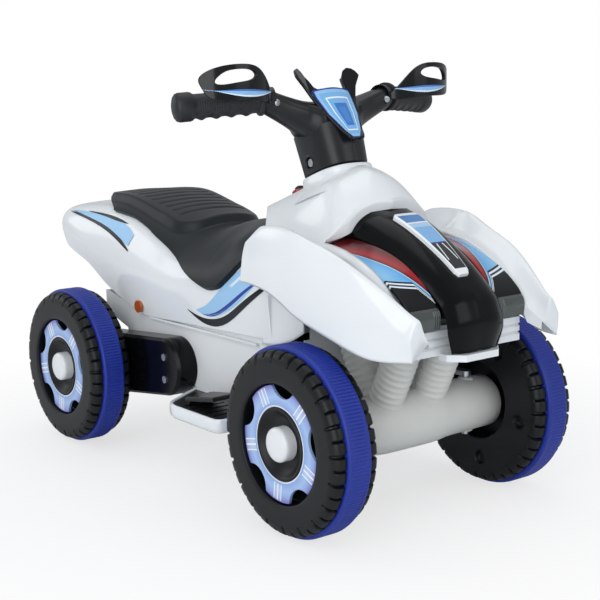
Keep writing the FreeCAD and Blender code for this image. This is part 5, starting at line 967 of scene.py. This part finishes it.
radius[:3], radius[-4:] = outline[:3, 1], outline[-4:, 1]
turn = np.linspace(0, 2 * np.pi, 96, endpoint=False)
on_body = (smooth_step(9, 12, along) * smooth_step(86, 83, along))[:, None]
rings = -0.35 * (0.5 + 0.5 * np.cos(2 * np.pi * along / RING_PITCH))[:, None] ** 4 * on_body
under_side = smooth_step(0.35, 0.95, -np.cos(turn))
bumps = sum(np.exp(-((along - spot) / 4.5) ** 2) for spot in BUMPS)[:, None] * on_body * under_side * 2.6
grip_r = radius[:, None] + rings * (1 - under_side) + bumps
for name, side in SIDES:
    axis = np.array([-math.sin(SWEEP) * math.cos(DROOP), side * math.cos(SWEEP) * math.cos(DROOP),
                     -math.sin(DROOP)])
    root = GRIP_AT * np.array([1, side, 1])
    points = lathe(along, grip_r, root, axis, (0, 0, 1), 96)
    piece(f"grip_{name}_sleeve", points, TUBE, grip_rubber, "steering", "grip_" + name)
    points = lathe(arm_end[:, 0] - 14, arm_end[:, 1], root, axis, (0, 0, 1), 64)
    piece("arm_end_" + name, points, TUBE, black_satin, "steering")
    points = lathe(head[:, 0] + 14.2, head[:, 1], root - axis * 7 - np.array([0, 0, 2]),
                   (1, -0.25 * side, -0.1), (0, 0, 1), 32)
    piece("arm_screw_" + name, points, TUBE, steel, "steering")

# Hand guards: curved glossy black shields in front of the knuckles, each with a window, fixed to the arm
# end by their lower inner corner. A sky-blue swoosh film with a pale edge runs along the lower part.
GUARD_ARC, GUARD_X, GUARD_MID, GUARD_WALL = 72.0, 182.0, 148.0, 5.0
GUARD_Y, GUARD_Z = (95.0, 202.0), (508.0, 551.0)
RIM = np.array([(0, -0.1), (0.3, -0.05), (0.6, -0.02), (0.88, 0.04), (0.97, 0.3), (1, 0.62), (0.9, 0.86),
                (0.72, 0.98), (0.5, 1), (0.36, 0.93), (0.25, 0.76), (0.15, 0.5), (0.05, 0.2)])
WINDOW = np.array([(0.86, 0.5), (0.78, 0.76), (0.66, 0.85), (0.46, 0.85), (0.37, 0.76), (0.36, 0.66),
                   (0.43, 0.57), (0.62, 0.5), (0.8, 0.45)])
guard_print, tree, u, v = printed("gloss_black_guard_with_film", 0.16, 0.1, shine=0.3)
swoosh = add(tree, "ShaderNodeValToRGB", {0: v}, hard=True,
             stops=[(0.0, INK), (0.25, paint("#dcebf7")), (0.36, paint("#8cbde8")), (0.62, paint("#4c74c0")),
                    (0.75, INK), (1.0, INK)])
tree.links.new(swoosh.outputs[0], tree.nodes["Principled BSDF"].inputs["Base Color"])


def loop(points, count, middle):
    """A closed smooth curve through the points in order, read off at even angles round the middle."""
    ring = np.concatenate([points[-3:], points, points[:3]])
    fine = spline(ring, np.linspace(0, 1, 1600))
    first, last = (np.linalg.norm(fine - points[0], axis=1)[span].argmin() + cut
                   for span, cut in ((slice(0, 800), 0), (slice(800, None), 800)))
    fine = fine[first:last]
    turn = np.unwrap(np.arctan2(*(fine - middle).T[::-1]))
    want = np.linspace(0, 2 * np.pi, count, endpoint=False)
    order = np.argsort(turn)
    spot = (want - turn[order][0]) % (2 * np.pi) + turn[order][0]
    return np.stack([np.interp(spot, turn[order], fine[order, k]) for k in (0, 1)], -1)


core = np.array([0.62, 0.66])
rim, window = loop(RIM, 240, core), loop(WINDOW, 240, core)
blend = np.linspace(0, 1, 22)[:, None, None] ** 1.2
flat = window * (1 - blend) + rim * blend
lens = np.sin(np.pi * np.clip((flat[..., 0] - 0.06) / 0.8, 0, 1))
film = (flat[..., 1] - 0.2 - 0.3 * (flat[..., 0] - 0.35) ** 2) / (0.004 + 0.1 * lens)
chart = np.stack([flat[..., 0], 0.5 + 0.25 * np.clip(film, -1.9, 1.9)], -1)
for name, side in SIDES:
    y = GUARD_Y[0] + flat[..., 0] * (GUARD_Y[1] - GUARD_Y[0])
    z = GUARD_Z[0] + flat[..., 1] * (GUARD_Z[1] - GUARD_Z[0])
    x = GUARD_X - GUARD_ARC + np.sqrt(GUARD_ARC ** 2 - (y - GUARD_MID) ** 2)
    piece(f"hand_guard_{name}_shield", np.stack([x, side * y, z], -1), TUBE, guard_print, "steering",
          "hand_guard_" + name, uv=chart, inside=(100, side * 148, 530), wall=GUARD_WALL)

# Visor: a curved glossy black shield clipped in front of the bar, with two upright ears. The middle has a
# plain pointed field in sky blue with a pale and a deep blue line round it.
VISOR_FOOT, VISOR_SLOPE, VISOR_ARC, VISOR_WALL = np.array([207.0, 0.0, 459.0]), math.radians(38), 70.0, 4.0
LOWER = np.array([(0, 0), (9, 0), (11, 2), (22, 30), (30, 56), (41, 82), (50, 95)], float)
UPPER = np.array([(0, 79), (14, 78.5), (22, 79), (25.5, 83), (27.5, 93), (30, 101), (34, 108), (40, 111),
                  (45, 108), (48, 103), (50, 96)], float)
FIELD = np.array([(0, 4), (12, 13), (40, 24.5), (66, 29.5), (80, 30)], float)
CORE_LOW, CORE_HIGH, FIELD_TOP, EAR_TOP = 30.0, 40.0, 79.0, 112.0
visor_print, tree, u, v = printed("gloss_black_visor_with_field", 0.16, 0.1, shine=0.3)
field = add(tree, "ShaderNodeValToRGB", {0: u}, hard=True,
            stops=[(0.0, paint("#4a86cc")), (0.20, paint("#3f78c2")), (0.36, paint("#79b2e4")),
                   (0.56, paint("#eef4f9")), (0.62, paint("#79b2e4")), (0.80, paint("#8fc1ea")),
                   (0.93, NAVY), (0.985, INK), (1.0, INK)])
tree.links.new(field.outputs[0], tree.nodes["Principled BSDF"].inputs["Base Color"])
aside = np.linspace(-50, 50, 141)
low, high = (np.interp(np.abs(aside), *edge.T) for edge in (LOWER, UPPER))
height = low + np.linspace(0, 1, 60)[:, None] * (high - low)
wide = np.interp(height, *FIELD.T)
above, below = (height - CORE_HIGH) / (FIELD_TOP - CORE_HIGH), (CORE_LOW - height) / CORE_LOW
inward = np.maximum(np.abs(aside) / wide, np.maximum(above, below))
chart = np.stack([np.clip(inward, 0, 1), height / EAR_TOP], -1)
on_field = np.minimum(np.abs(aside), wide)
bend = -on_field ** 2 / (2 * VISOR_ARC) + 0.5 * (np.abs(aside) - on_field)
up_way = np.array([-math.sin(VISOR_SLOPE), 0, math.cos(VISOR_SLOPE)])
out_way = np.array([math.cos(VISOR_SLOPE), 0, math.sin(VISOR_SLOPE)])
points = VISOR_FOOT + aside[:, None] * np.array([0, 1, 0])
points = points + height[..., None] * up_way + bend[..., None] * out_way
piece("visor_shield", points, OPEN, visor_print, "steering", "visor", uv=chart,
      inside=VISOR_FOOT - 200 * out_way, wall=VISOR_WALL)
stem = np.array([(0, 0.5), (0, 7), (1, 8), (38, 9), (38, 0.5)])
points = lathe(*stem.T, VISOR_FOOT + 19 * up_way - 3 * out_way, -out_way, (0, 1, 0), 40)
piece("visor_stem", points, TUBE, black_satin, "steering")
